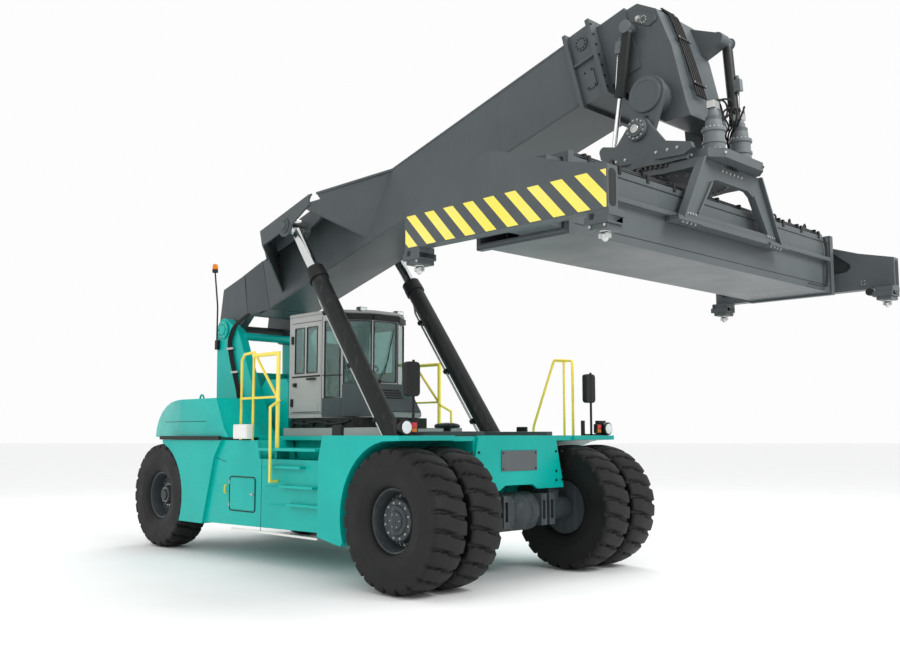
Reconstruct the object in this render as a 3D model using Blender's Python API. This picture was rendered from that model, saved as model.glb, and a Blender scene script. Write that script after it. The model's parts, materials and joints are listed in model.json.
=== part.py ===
"""Reach stacker for shipping containers, as an assembly of separate solids in metres.

Truck axes: +X forward from the front axle, +Y to the left, +Z up from the ground. Every solid is
parented to an empty that shifts the truck so that the middle of its length stands over the world origin.
"""

import math

import bmesh
import bpy
from mathutils import Matrix, Vector

# ---------------------------------------------------------------- driving dimensions
SEAT_GAP = 0.0003          # gap between pieces that touch
RUN_GAP = 0.010            # gap between pieces that slide or turn past each other

WHEELBASE = 6.30
TYRE_RADIUS = 0.84
TYRE_WIDTH = 0.50
RIM_RADIUS = 0.385
FRONT_OUTER_Y = 1.83       # middle of the outer front tyre
FRONT_INNER_Y = 1.25       # middle of the inner front tyre
REAR_WHEEL_Y = 1.38
KINGPIN_Y = 0.98
STEER_CLEARANCE = 0.05

DECK_TOP = 1.80
DECK_THICKNESS = 0.06
FENDER_TOP = 1.81
FENDER_OUTER_Y = 2.05
FRONT_END = 0.16           # front face of the chassis
SIDE_BOX_OUTER_Y = 1.62
SIDE_BOX_TOP = 1.48
SIDE_BOX_BOTTOM = 0.50
TREAD_OUTER_Y = 1.715
TREAD_THICKNESS = 0.035
UPPER_TREAD = 1.60         # underside of the highest step
RAIL_INNER_Y = 0.60
RAIL_OUTER_Y = 0.95
SIDE_BOX_INNER_Y = RAIL_OUTER_Y + SEAT_GAP

TOWER_INNER_Y = 0.59
TOWER_OUTER_Y = 0.74
PIVOT = (-5.86, 3.585)     # boom pivot, x and z
PIVOT_PIN_RADIUS = 0.085
REST_LIFT = math.radians(15.6)

BOOM_HALF_WIDTH = 0.455
BOOM_LOW = 0.033           # underside of the outer boom, measured square to it from the pivot
BOOM_DEPTH = 0.860
BOOM_LENGTH = 8.19         # pivot to the front flange
BOOM_WALL = 0.030
INNER_BOOM_WALL = 0.030
INNER_BOOM_REAR = 1.00     # rear end of the inner boom, from the pivot
TAIL_HALF_WIDTH = 0.56

LIFT_BASE = (-0.90, 1.40)  # lower pin of the lift cylinders, x and z
LIFT_EYE = (-3.52, 4.96)   # upper pin at the rest angle
LIFT_Y = 0.95
LIFT_BARREL_RADIUS = 0.13
LIFT_BARREL_LENGTH = 3.52
LIFT_ROD_RADIUS = 0.085

HEAD_HALF_WIDTH = 0.40
LEVEL_PIVOT = (2.53, 5.13)  # pin on which the slewing frame hangs
SLEW_X = 2.59               # middle of the spreader
SLEW_RING_RADIUS = 0.70

BEAM_HALF_LENGTH = 2.70
BEAM_REAR = 2.05
BEAM_FRONT = 3.13
BEAM_BOTTOM = 3.62
BEAM_TOP = 4.32
BEAM_WALL = 0.03
TELESCOPE_GAP = 0.012
TELESCOPE_LENGTH = 5.30
END_FRAME_THICKNESS = 0.14
TWISTLOCK_SPACING_X = 2.259
TWISTLOCK_SPACING_Y = 5.853
END_FRAME_OFFSET = 0.0335   # from the twistlocks' row to the middle of the end frame, outwards
END_FRAME_Y = TWISTLOCK_SPACING_Y / 2 + END_FRAME_OFFSET
TWISTLOCK_TIP = 3.44

CAB_HALF_WIDTH = 0.74
CAB_REAR = -3.90
CAB_SIDE_FRONT = -3.05
CAB_FRONT = -2.50
CAB_FLOOR = 2.07
CAB_ROOF = 3.62
CAB_WALL = 0.06
CAB_RAIL_TOP = 1.92

COUNTERWEIGHT_REAR = -7.35
COUNTERWEIGHT_FRONT = -4.17
COUNTERWEIGHT_BOTTOM = 1.78
COUNTERWEIGHT_TOP = 2.38
COUNTERWEIGHT_HALF_WIDTH = 1.62
COUNTERWEIGHT_DOME = 1.45   # length of the rounded rear

HOUSING_HALF_LENGTH = 0.11
SPREADER_FRONT = SLEW_X + TWISTLOCK_SPACING_X / 2 + HOUSING_HALF_LENGTH
ROUND = 16                 # sides of a turned piece
WHEEL_SIDES = 32

# ---------------------------------------------------------------- a clean scene
for old in list(bpy.data.objects):
    bpy.data.objects.remove(old, do_unlink=True)

datum = bpy.data.objects.new("datum", None)
bpy.context.scene.collection.objects.link(datum)
datum.location = (-(COUNTERWEIGHT_REAR + SPREADER_FRONT) / 2, 0.0, 0.0)

COLOURS = {
    "teal_paint": ((0.004, 0.60, 0.51), 0.35, 0.0),
    "grey_paint": ((0.13, 0.15, 0.16), 0.45, 0.0),
    "cab_paint": ((0.36, 0.36, 0.35), 0.45, 0.0),
    "rim_paint": ((0.15, 0.18, 0.19), 0.45, 0.0),
    "black_paint": ((0.02, 0.02, 0.02), 0.5, 0.0),
    "yellow_paint": ((0.90, 0.72, 0.10), 0.4, 0.0),
    "tyre_rubber": ((0.03, 0.03, 0.03), 0.8, 0.0),
    "bright_steel": ((0.62, 0.62, 0.60), 0.25, 1.0),
    "seat_fabric": ((0.03, 0.03, 0.035), 0.9, 0.0),
    "amber_lens": ((0.85, 0.30, 0.02), 0.2, 0.0),
}


def material(name):
    """The named finish, made the first time it is asked for."""
    found = bpy.data.materials.get(name)
    if found:
        return found
    colour, roughness, metallic = COLOURS[name]
    made = bpy.data.materials.new(name)
    made.use_nodes = True
    shader = made.node_tree.nodes["Principled BSDF"]
    shader.inputs["Base Color"].default_value = (*colour, 1.0)
    shader.inputs["Roughness"].default_value = roughness
    shader.inputs["Metallic"].default_value = metallic
    return made


# ---------------------------------------------------------------- shapes, all in truck axes
def shape(vertices, faces, triangles=False):
    """A working solid from its corners and faces; faces that may not be flat are split in triangles."""
    mesh = bpy.data.meshes.new("shape")
    mesh.from_pydata([tuple(v) for v in vertices], [], faces)
    tidy = bmesh.new()
    tidy.from_mesh(mesh)
    if triangles:
        bmesh.ops.triangulate(tidy, faces=tidy.faces)
    bmesh.ops.recalc_face_normals(tidy, faces=tidy.faces)
    tidy.to_mesh(mesh)
    tidy.free()
    made = bpy.data.objects.new("shape", mesh)
    bpy.context.scene.collection.objects.link(made)
    return made


def box(x0, x1, y0, y1, z0, z1):
    corners = [(x, y, z) for x in (x0, x1) for y in (y0, y1) for z in (z0, z1)]
    return shape(corners, [(0, 1, 3, 2), (4, 6, 7, 5), (0, 4, 5, 1), (2, 3, 7, 6), (0, 2, 6, 4),
                           (1, 5, 7, 3)])


def hexahedron(near, far):
    """A solid between two four-cornered ends."""
    return shape(list(near) + list(far),
                 [(0, 1, 2, 3), (7, 6, 5, 4), (0, 4, 5, 1), (1, 5, 6, 2), (2, 6, 7, 3), (3, 7, 4, 0)])


def prism(outline, low, high, axis):
    """The outline pushed from low to high along an axis; it is given as (x, z), (y, z) or (x, y)."""
    place = {"y": lambda a, b, t: (a, t, b), "x": lambda a, b, t: (t, a, b),
             "z": lambda a, b, t: (a, b, t)}[axis]
    count = len(outline)
    corners = [place(a, b, low) for a, b in outline] + [place(a, b, high) for a, b in outline]
    sides = [(i, (i + 1) % count, count + (i + 1) % count, count + i) for i in range(count)]
    return shape(corners, [tuple(range(count)), tuple(range(2 * count - 1, count - 1, -1))] + sides)


def arc(centre, radius, start, end, steps):
    """Points on a circle, by angle in degrees."""
    angles = [math.radians(start + (end - start) * i / steps) for i in range(steps + 1)]
    return [(centre[0] + radius * math.cos(a), centre[1] + radius * math.sin(a)) for a in angles]


def turned(profile, start, direction, sides=ROUND):
    """A profile of (distance, radius) turned about an axis. A ring's profile closes on itself."""
    axis = Vector(direction).normalized()
    across = axis.orthogonal().normalized()
    if abs(axis.y) < 0.5:
        across = Vector((0, 1, 0))
    other = axis.cross(across)
    corners, rows = [], []
    for along, radius in profile:
        middle = Vector(start) + axis * along
        if radius == 0:
            rows.append([len(corners)] * sides)
            corners.append(middle)
            continue
        rows.append(list(range(len(corners), len(corners) + sides)))
        for i in range(sides):
            a = 2 * math.pi * (i + 0.5) / sides
            corners.append(middle + (across * math.cos(a) + other * math.sin(a)) * radius)
    faces = []
    ring = profile[0][1] != 0 and profile[-1][1] != 0
    pairs = list(zip(rows, rows[1:])) + ([(rows[-1], rows[0])] if ring else [])
    for one, two in pairs:
        for i in range(sides):
            j = (i + 1) % sides
            corner = [one[i], one[j], two[j], two[i]]
            face = list(dict.fromkeys(corner))
            if len(face) > 2:
                faces.append(tuple(face))
    return shape(corners, faces)


def rod(start, end, radius, sides=ROUND):
    length = (Vector(end) - Vector(start)).length
    profile = [(0, 0), (0, radius), (length, radius), (length, 0)]
    return turned(profile, start, Vector(end) - Vector(start), sides)


def disc_y(centre, y0, y1, radius, sides=ROUND):
    """A round plate or boss square to Y, centred on (x, z)."""
    return rod((centre[0], y0, centre[1]), (centre[0], y1, centre[1]), radius, sides)


def bent_tube(points, radius, sides=8):
    """A tube along straight runs, mitred where they meet."""
    points = [Vector(p) for p in points]
    rings = []
    up = Vector((0.31, 0.17, 0.93))
    for i, point in enumerate(points):
        before = (point - points[i - 1]).normalized() if i else None
        after = (points[i + 1] - point).normalized() if i + 1 < len(points) else None
        along = ((before or after) + (after or before)).normalized()
        run = after or before
        side = run.cross(up).normalized()
        top = side.cross(run).normalized()
        ring = []
        for k in range(sides):
            a = 2 * math.pi * k / sides
            offset = (side * math.cos(a) + top * math.sin(a)) * radius
            ring.append(point + offset - run * (offset.dot(along) / run.dot(along)))
        rings.append(ring)
    corners = [c for ring in rings for c in ring]
    faces = [tuple(range(sides)), tuple(range(len(corners) - 1, len(corners) - sides - 1, -1))]
    for r in range(len(rings) - 1):
        for k in range(sides):
            j = (k + 1) % sides
            faces.append((r * sides + k, r * sides + j, (r + 1) * sides + j, (r + 1) * sides + k))
    return shape(corners, faces, triangles=True)


def combine(first, others, operation):
    """One Boolean after another, each applied and its tool removed."""
    for other in others:
        step = first.modifiers.new("step", "BOOLEAN")
        step.operation = operation
        step.solver = "EXACT"
        step.object = other
        view = bpy.context.evaluated_depsgraph_get()
        result = bpy.data.meshes.new_from_object(first.evaluated_get(view))
        first.modifiers.clear()
        first.data = result
        bpy.data.objects.remove(other, do_unlink=True)
    return first


def joined(*solids):
    return combine(solids[0], solids[1:], "UNION")


def cut(solid, *tools):
    return combine(solid, tools, "DIFFERENCE")


def common(solid, *tools):
    return combine(solid, tools, "INTERSECT")


def moved(solid, matrix):
    solid.data.transform(matrix)
    return solid


def mirrored(solid):
    """A copy on the other side of the truck's middle plane."""
    mesh = solid.data.copy()
    mesh.transform(Matrix.Scale(-1, 4, (0, 1, 0)))
    mesh.flip_normals()
    made = bpy.data.objects.new("shape", mesh)
    bpy.context.scene.collection.objects.link(made)
    return made


def piece(name, solid, finish, origin=(0, 0, 0)):
    """Names a finished solid, gives it its finish, and puts its origin on its joint's axis."""
    solid.name = name
    solid.data.name = name
    solid.data.materials.clear()
    solid.data.materials.append(material(finish))
    solid.data.transform(Matrix.Translation(-Vector(origin)))
    solid.location = origin
    solid.parent = datum
    solid.data.shade_smooth()
    solid.data.set_sharp_from_angle(angle=math.radians(35))
    return solid


def sided(name, solid, finish, origin=(0, 0, 0)):
    """The right-hand piece from a solid made at -Y, and its mirror image on the left."""
    other = mirrored(solid)
    piece(name + "_right", solid, finish, origin)
    piece(name + "_left", other, finish, (origin[0], -origin[1], origin[2]))


# ---------------------------------------------------------------- the boom's own axes
BOOM_AXES = (Matrix.Translation((PIVOT[0], 0, PIVOT[1])) @ Matrix.Rotation(-REST_LIFT, 4, "Y"))


def on_boom(solid):
    """Moves a solid from the boom's axes, x along it and z square to it, to the truck's at the rest angle."""
    return moved(solid, BOOM_AXES)


def boom_point(x, z):
    """A point at the rest angle, in the boom's own axes."""
    local = BOOM_AXES.inverted() @ Vector((x, 0, z))
    return local.x, local.z


def truck_point(along, square):
    """A point of the boom's own axes, in the truck's at the rest angle."""
    world = BOOM_AXES @ Vector((along, 0, square))
    return world.x, world.z


# ---------------------------------------------------------------- wheels
def tyre(middle_x, middle_y):
    half = TYRE_WIDTH / 2
    bead = RIM_RADIUS - 0.02
    crown = TYRE_RADIUS / math.cos(math.pi / WHEEL_SIDES)  # its flats then stand on the ground
    profile = [(-0.17, bead), (-half + 0.02, RIM_RADIUS + 0.05), (-half, 0.62), (-half + 0.045, crown - 0.04),
               (-0.16, crown), (0.16, crown), (half - 0.045, crown - 0.04), (half, 0.62),
               (half - 0.02, RIM_RADIUS + 0.05), (0.17, bead)]
    return turned(profile, (middle_x, middle_y, TYRE_RADIUS), (0, 1, 0), WHEEL_SIDES)


RIM_SEAT = RIM_RADIUS - 0.02 - SEAT_GAP
HUB_RADIUS = 0.25
FRONT_HUB_BACK = FRONT_OUTER_Y - 0.12


def front_rim():
    """Both rims of the twin wheel with the spacer and planetary hub between them, from the inside."""
    inner_edge = FRONT_INNER_Y - 0.16
    outer_edge = FRONT_OUTER_Y + 0.16
    face = FRONT_OUTER_Y + 0.13
    profile = [(inner_edge, 0.32), (inner_edge, RIM_SEAT), (FRONT_OUTER_Y + 0.14, RIM_SEAT),
               (outer_edge, RIM_SEAT), (outer_edge, 0.335), (FRONT_OUTER_Y - 0.05, 0.32),
               (FRONT_OUTER_Y - 0.05, HUB_RADIUS), (face, HUB_RADIUS - 0.02), (face + 0.02, 0.15),
               (face + 0.02, 0.0)]
    back = [(FRONT_HUB_BACK, 0.0), (FRONT_HUB_BACK, 0.32)]
    return turned(back + profile, (0, 0, TYRE_RADIUS), (0, -1, 0), WHEEL_SIDES)


def rear_rim():
    inner_edge = REAR_WHEEL_Y - 0.19
    outer_edge = REAR_WHEEL_Y + 0.19
    disc = REAR_WHEEL_Y + 0.03
    profile = [(disc - 0.04, 0.0), (disc - 0.04, 0.30), (inner_edge, 0.31), (inner_edge, RIM_SEAT),
               (outer_edge, RIM_SEAT), (outer_edge, 0.335), (disc + 0.02, 0.30), (disc + 0.02, 0.17),
               (disc + 0.10, 0.14), (disc + 0.14, 0.10), (disc + 0.14, 0.0)]
    return turned(profile, (-WHEELBASE, 0, TYRE_RADIUS), (0, -1, 0), WHEEL_SIDES)


FRONT_HUB = (0, -(FRONT_INNER_Y + FRONT_OUTER_Y) / 2, TYRE_RADIUS)
REAR_HUB = (-WHEELBASE, -REAR_WHEEL_Y, TYRE_RADIUS)
sided("front_outer_tyre", tyre(0, -FRONT_OUTER_Y), "tyre_rubber", FRONT_HUB)
sided("front_inner_tyre", tyre(0, -FRONT_INNER_Y), "tyre_rubber", FRONT_HUB)
sided("front_rim", front_rim(), "rim_paint", FRONT_HUB)
sided("rear_tyre", tyre(-WHEELBASE, -REAR_WHEEL_Y), "tyre_rubber", REAR_HUB)
sided("rear_rim", rear_rim(), "rim_paint", REAR_HUB)

# ---------------------------------------------------------------- axles
KNUCKLE_HALF_GAP = 0.155   # half the height between the fork's plates
KNUCKLE_PLATE = 0.07
EYE_RADIUS = 0.12


def drive_axle():
    """Axle tube with the differential's bulge in front, its bolted pads and two guard frames."""
    half = FRONT_HUB_BACK - SEAT_GAP
    tube = turned([(-half, 0), (-half, 0.15), (-0.55, 0.17), (-0.30, 0.25), (0.30, 0.25), (0.55, 0.17),
                   (half, 0.15), (half, 0)], (0, 0, TYRE_RADIUS), (0, 1, 0))
    bulge = turned([(0, 0.24), (0.14, 0.23), (0.24, 0.17), (0.28, 0.08), (0.29, 0.0)][::-1] + [(0, 0)],
                   (0.02, 0, TYRE_RADIUS), (1, 0, 0))
    pads = [box(-0.16, 0.10, y - 0.10, y + 0.10, TYRE_RADIUS, 1.14 - SEAT_GAP) for y in (-0.75, 0.75)]
    guards = []
    for y in (-0.52, -0.36, 0.36, 0.52):
        frame = box(0.02, 0.27, y - 0.055, y + 0.055, 0.66, 1.06)
        hole = box(0.18, 0.30, y - 0.025, y + 0.025, 0.74, 0.98)
        guards.append(cut(frame, hole))
    return joined(tube, bulge, *pads, *guards)


def steer_axle():
    """Beam between two round eyes, hung from the middle of the chassis."""
    x, z = -WHEELBASE, TYRE_RADIUS
    beam = prism([(-KINGPIN_Y, z - 0.10), (-0.35, z - 0.16), (0.35, z - 0.16), (KINGPIN_Y, z - 0.10),
                  (KINGPIN_Y, z + 0.10), (0.35, z + 0.15), (-0.35, z + 0.15), (-KINGPIN_Y, z + 0.10)],
                 x - 0.11, x + 0.11, "x")
    eyes = [rod((x, y, z - KNUCKLE_HALF_GAP + SEAT_GAP), (x, y, z + KNUCKLE_HALF_GAP - SEAT_GAP), EYE_RADIUS)
            for y in (-KINGPIN_Y, KINGPIN_Y)]
    hanger = box(x - 0.20, x + 0.20, -0.20, 0.20, z + 0.05, SPINE_BOTTOM - SEAT_GAP)
    return joined(beam, *eyes, hanger)


def knuckle():
    """Fork over the axle's eye, with the spindle that carries the wheel, on the right."""
    x, z = -WHEELBASE, TYRE_RADIUS
    plates = []
    for low in (z - KNUCKLE_HALF_GAP - KNUCKLE_PLATE, z + KNUCKLE_HALF_GAP):
        plates.append(joined(rod((x, -KINGPIN_Y, low), (x, -KINGPIN_Y, low + KNUCKLE_PLATE), EYE_RADIUS),
                             box(x - 0.11, x + 0.11, -KINGPIN_Y - 0.20, -KINGPIN_Y, low, low + KNUCKLE_PLATE)))
    web = box(x - 0.11, x + 0.11, -KINGPIN_Y - 0.21, -KINGPIN_Y - 0.145,
              z - KNUCKLE_HALF_GAP - KNUCKLE_PLATE, z + KNUCKLE_HALF_GAP + KNUCKLE_PLATE)
    spindle = rod((x, -KINGPIN_Y - 0.15, z), (x, -(REAR_WHEEL_Y + 0.03 - 0.04) + SEAT_GAP, z), 0.10)
    return joined(plates[0], web, plates[1], spindle)


SPINE_BOTTOM = 1.15
piece("drive_axle", drive_axle(), "rim_paint")
piece("steer_axle", steer_axle(), "rim_paint")
sided("steer_knuckle", knuckle(), "rim_paint", (-WHEELBASE, -KINGPIN_Y, TYRE_RADIUS))

# ---------------------------------------------------------------- chassis
DECK_BOTTOM = DECK_TOP - DECK_THICKNESS
RAIL_TOP = DECK_BOTTOM - SEAT_GAP
RAIL_REAR = -5.15
SPINE_REAR = -6.90
LIFT_EAR_SIDE = 0.020      # from the lift barrel's side to its lower ears
LIFT_EAR_INNER = LIFT_Y - LIFT_BARREL_RADIUS - LIFT_EAR_SIDE
LIFT_EAR_OUTER = LIFT_Y + LIFT_BARREL_RADIUS + LIFT_EAR_SIDE
LIFT_EAR_PLATE = 0.03
WING_REAR, WING_FRONT = 1.10, 4.45          # where the wing's roof meets the boom, along the boom
WING_TIP_REAR, WING_TIP_FRONT = 1.98, 3.30  # the roof's outer edge
WING_BRACE_REAR = [(1.40, 0.15), (1.40, 0.87)]    # the braces' edges on the boom's side
WING_BRACE_FRONT = [(3.62, 0.14), (4.368, 0.87)]
FENDER_INNER_Y = LIFT_EAR_OUTER + LIFT_EAR_PLATE + 0.015


def chassis():
    """Two deep rails, the spine over the steered axle, cross members and the lift cylinders' lower ears."""
    parts = []
    for side in (-1, 1):
        y0, y1 = sorted((side * RAIL_INNER_Y, side * RAIL_OUTER_Y))
        parts.append(box(RAIL_REAR, -1.62, y0, y1, 0.76, RAIL_TOP))
        y0, y1 = sorted((side * RAIL_INNER_Y, side * (LIFT_EAR_INNER - 0.002)))
        parts.append(prism([(-1.80, 0.78), (-1.10, 0.78), (-0.98, 1.14), (FRONT_END - 0.04, 1.14),
                            (FRONT_END - 0.04, RAIL_TOP), (-1.80, RAIL_TOP)], y0, y1, "y"))
        seat0, seat1 = sorted((side * (RAIL_INNER_Y + 0.05), side * (LIFT_EAR_OUTER + LIFT_EAR_PLATE)))
        parts.append(box(-1.40, -1.08, seat0, seat1, 1.02, 1.26))
        for inner in (LIFT_EAR_INNER - LIFT_EAR_PLATE, LIFT_EAR_OUTER):
            e0, e1 = sorted((side * inner, side * (inner + LIFT_EAR_PLATE)))
            outline = [(-1.30, 1.03), (-1.05, 1.10)] + arc(LIFT_BASE, 0.13, -45, 135, 8) + [(-1.30, 1.25)]
            parts.append(prism(outline, e0, e1, "y"))
    spine = box(SPINE_REAR, RAIL_REAR + 0.1, -0.32, 0.32, SPINE_BOTTOM, RAIL_TOP)
    cross = [box(RAIL_REAR, RAIL_REAR + 0.30, -0.70, 0.70, 0.82, RAIL_TOP),
             box(-1.10, -0.80, -0.70, 0.70, 1.16, 1.50),
             box(-0.10, FRONT_END - 0.05, -0.70, 0.70, 1.30, RAIL_TOP - 0.01),
             box(-3.0, -2.8, -0.70, 0.70, 0.78, 1.00)]
    main = joined(*cross[:1], spine, *cross[1:])
    return joined(main, *parts)


def front_panel():
    """Plate between the front wheels, notched over the differential."""
    low, high = 1.12, FENDER_TOP
    notch = [(0.36, low), (0.26, low + 0.06), (-0.26, low + 0.06), (-0.36, low)]
    outline = [(-0.90, low), (-0.74, high), (0.74, high), (0.90, low)] + notch
    return prism(outline, FRONT_END - 0.04 + SEAT_GAP, FRONT_END, "x")


def deck_plate():
    """Tread plate over the rails, under the cab and over the front axle."""
    wells = []
    for side in (-1, 1):
        y0, y1 = sorted((side * (LIFT_EAR_INNER - 0.06), side * 1.2))
        wells.append(box(-1.50, -0.92, y0, y1, 1.5, 2.0))
    half = FENDER_INNER_Y - SEAT_GAP
    plate = box(-4.10, FRONT_END - 0.04, -half, half, DECK_BOTTOM, DECK_TOP)
    return cut(plate, *wells)


def engine_block():
    """Plain block on two mounts that reach the rails."""
    reach = RAIL_INNER_Y - SEAT_GAP
    mounts = [box(x, x + 0.16, -reach, reach, 1.10, 1.22) for x in (-4.25, -3.50)]
    return joined(box(-4.35, -3.15, -0.42, 0.42, 1.05, 1.68), *mounts)


def engine_hood():
    """Hood behind the cab, between the tower's plates."""
    return prism([(-5.05, DECK_BOTTOM), (-4.15, DECK_BOTTOM), (-4.15, 2.62), (-4.22, 2.70), (-4.80, 2.70),
                  (-5.05, 2.45)], -TOWER_INNER_Y + RUN_GAP, TOWER_INNER_Y - RUN_GAP, "y")


def side_box():
    """Tank and step box with the skirt that clears the steered wheel at every angle, on the right."""
    outer, inner = -SIDE_BOX_OUTER_Y, -SIDE_BOX_INNER_Y
    body = prism([(-4.86, SIDE_BOX_BOTTOM), (-1.93, SIDE_BOX_BOTTOM + 0.04), (-1.38, SIDE_BOX_TOP),
                  (-4.60, SIDE_BOX_TOP)], outer, inner, "y")
    skirt = prism([(-5.60, SIDE_BOX_BOTTOM - 0.02), (-4.80, SIDE_BOX_BOTTOM - 0.02), (-4.50, SIDE_BOX_TOP),
                   (-4.30, COUNTERWEIGHT_BOTTOM - 0.04), (-6.12, COUNTERWEIGHT_BOTTOM - 0.04)],
                  outer - 0.05, inner, "y")
    reach = math.hypot(TYRE_RADIUS, REAR_WHEEL_Y + TYRE_WIDTH / 2 - KINGPIN_Y) + STEER_CLEARANCE
    ball = turned([(reach * math.cos(math.pi * i / 16),
                    reach * math.sin(math.pi * i / 16) if 0 < i < 16 else 0)
                   for i in range(17)], (-WHEELBASE, -KINGPIN_Y, TYRE_RADIUS), (0, 1, 0), 32)
    ball = common(ball, box(-8, -4, -3, 1, 0.2, TYRE_RADIUS * 2 + 0.03))
    skirt = cut(skirt, ball)
    whole = joined(body, skirt)
    shoulder = prism([(-4.62, SIDE_BOX_TOP - 0.02), (-3.32, SIDE_BOX_TOP - 0.02),
                      (-3.40, COUNTERWEIGHT_BOTTOM - 0.04),
                      (-4.50, COUNTERWEIGHT_BOTTOM - 0.04)], outer, -RAIL_OUTER_Y - 0.05, "y")
    stands = [box(x, x + 0.05, outer + 0.10, -1.30, SIDE_BOX_TOP - 0.01, UPPER_TREAD) for x in (-3.10, -2.00)]
    treads = [box(-3.22, -1.88, -TREAD_OUTER_Y, -1.22, UPPER_TREAD - 0.005, UPPER_TREAD + TREAD_THICKNESS)]
    treads += [box(x, x + 0.78, -TREAD_OUTER_Y, outer + 0.02, z, z + TREAD_THICKNESS)
               for x, z in ((-3.00, 1.36), (-2.72, 1.10), (-2.53, 0.86))]
    return joined(whole, shoulder, *stands, *treads)


def front_fender():
    """Mudguard and walkway over the twin wheel, on the right."""
    wheel = (0, TYRE_RADIUS)
    arch = arc(wheel, TYRE_RADIUS + 0.07, 200, 98, 12)
    outline = [(-0.90, 0.48), (-1.36, 0.56), (-1.36, FENDER_TOP - 0.30), (-1.28, FENDER_TOP),
               (FRONT_END, FENDER_TOP), (FRONT_END, FENDER_TOP - 0.06)] + [p for p in reversed(arch)]
    return prism(outline, -FENDER_OUTER_Y, -FENDER_INNER_Y, "y")


piece("chassis_frame", chassis(), "teal_paint")
piece("front_panel", front_panel(), "teal_paint")
piece("deck_plate", deck_plate(), "teal_paint")
piece("engine_block", engine_block(), "black_paint")
piece("engine_hood", engine_hood(), "teal_paint")
sided("side_box", side_box(), "teal_paint")
sided("front_fender", front_fender(), "teal_paint")


def counterweight():
    """Cast block behind and beside the tower, with rounded rear corners."""
    rear, front, low, high = COUNTERWEIGHT_REAR, COUNTERWEIGHT_FRONT, COUNTERWEIGHT_BOTTOM, COUNTERWEIGHT_TOP
    half = COUNTERWEIGHT_HALF_WIDTH
    dome = COUNTERWEIGHT_DOME
    side_view = [(front, low), (front - 0.14, low + 0.15), (front - 0.38, high)]
    side_view += [(rear + dome * (1 - math.sin(a)), low + (high - low) * math.cos(a))
                  for a in (math.radians(15 * i) for i in range(7))]
    block = prism(side_view, -half, half, "y")
    corner = 0.47
    taper = rear + dome + 0.30
    plan = [(rear, -half + corner), (taper, -half), (front, -half), (front, half), (taper, half),
            (rear, half - corner)]
    block = common(block, prism(plan, low - 0.1, high + 0.5, "z"))
    well = box(-6.15, front + 0.5, -TOWER_OUTER_Y - RUN_GAP, TOWER_OUTER_Y + RUN_GAP, low - 0.2, high + 0.6)
    block = cut(block, well)
    lump = box(-7.28, SPINE_REAR - SEAT_GAP, -0.36, 0.36, 1.05, low + 0.1)
    return joined(block, lump)


def tower():
    """Two plates that carry the boom's pivot, tied by a foot, a rear plate and a cross tube."""
    plates = []
    foot = DECK_BOTTOM
    outline = [(-6.02, foot), (-4.40, foot), (-4.58, 1.95), (-4.82, 2.40), (-5.15, 3.04), (-5.33, 3.42),
               (-5.42, 3.56), (-5.66, 3.70)] + arc(PIVOT, 0.20, 60, 190, 8)
    for side in (-1, 1):
        y0, y1 = sorted((side * TOWER_INNER_Y, side * TOWER_OUTER_Y))
        plates.append(prism(outline, y0, y1, "y"))
        y0, y1 = sorted((side * (TAIL_HALF_WIDTH + SEAT_GAP), side * (TOWER_OUTER_Y + 0.03)))
        plates.append(disc_y(PIVOT, y0, y1, 0.11))
    ties = [box(-6.02, -5.92, -TOWER_INNER_Y - 0.05, TOWER_INNER_Y + 0.05, foot, 2.90),
            box(-5.95, -5.10, -TOWER_INNER_Y - 0.05, TOWER_INNER_Y + 0.05, foot, foot + 0.08),
            rod((-5.36, -TOWER_INNER_Y - 0.05, 3.45), (-5.36, TOWER_INNER_Y + 0.05, 3.45), 0.065)]
    return joined(ties[0], ties[1], *plates, ties[2])


piece("counterweight", counterweight(), "teal_paint")
piece("boom_tower", tower(), "teal_paint")

# ---------------------------------------------------------------- boom
BOOM_HIGH = BOOM_LOW + BOOM_DEPTH
BOOM_MIDDLE = BOOM_LOW + BOOM_DEPTH / 2
EYE_ON_BOOM = boom_point(*LIFT_EYE)
BORE_HALF_WIDTH = BOOM_HALF_WIDTH - BOOM_WALL
BORE_LOW = BOOM_LOW + BOOM_WALL
BORE_HIGH = BOOM_HIGH - BOOM_WALL
WING_EAR_SIDE = 0.025      # from the lift barrel's side to the boom's ears
EAR_INNER = LIFT_Y - LIFT_BARREL_RADIUS - WING_EAR_SIDE
EAR_OUTER = LIFT_Y + LIFT_BARREL_RADIUS + WING_EAR_SIDE
EAR_PLATE = 0.03


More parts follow.
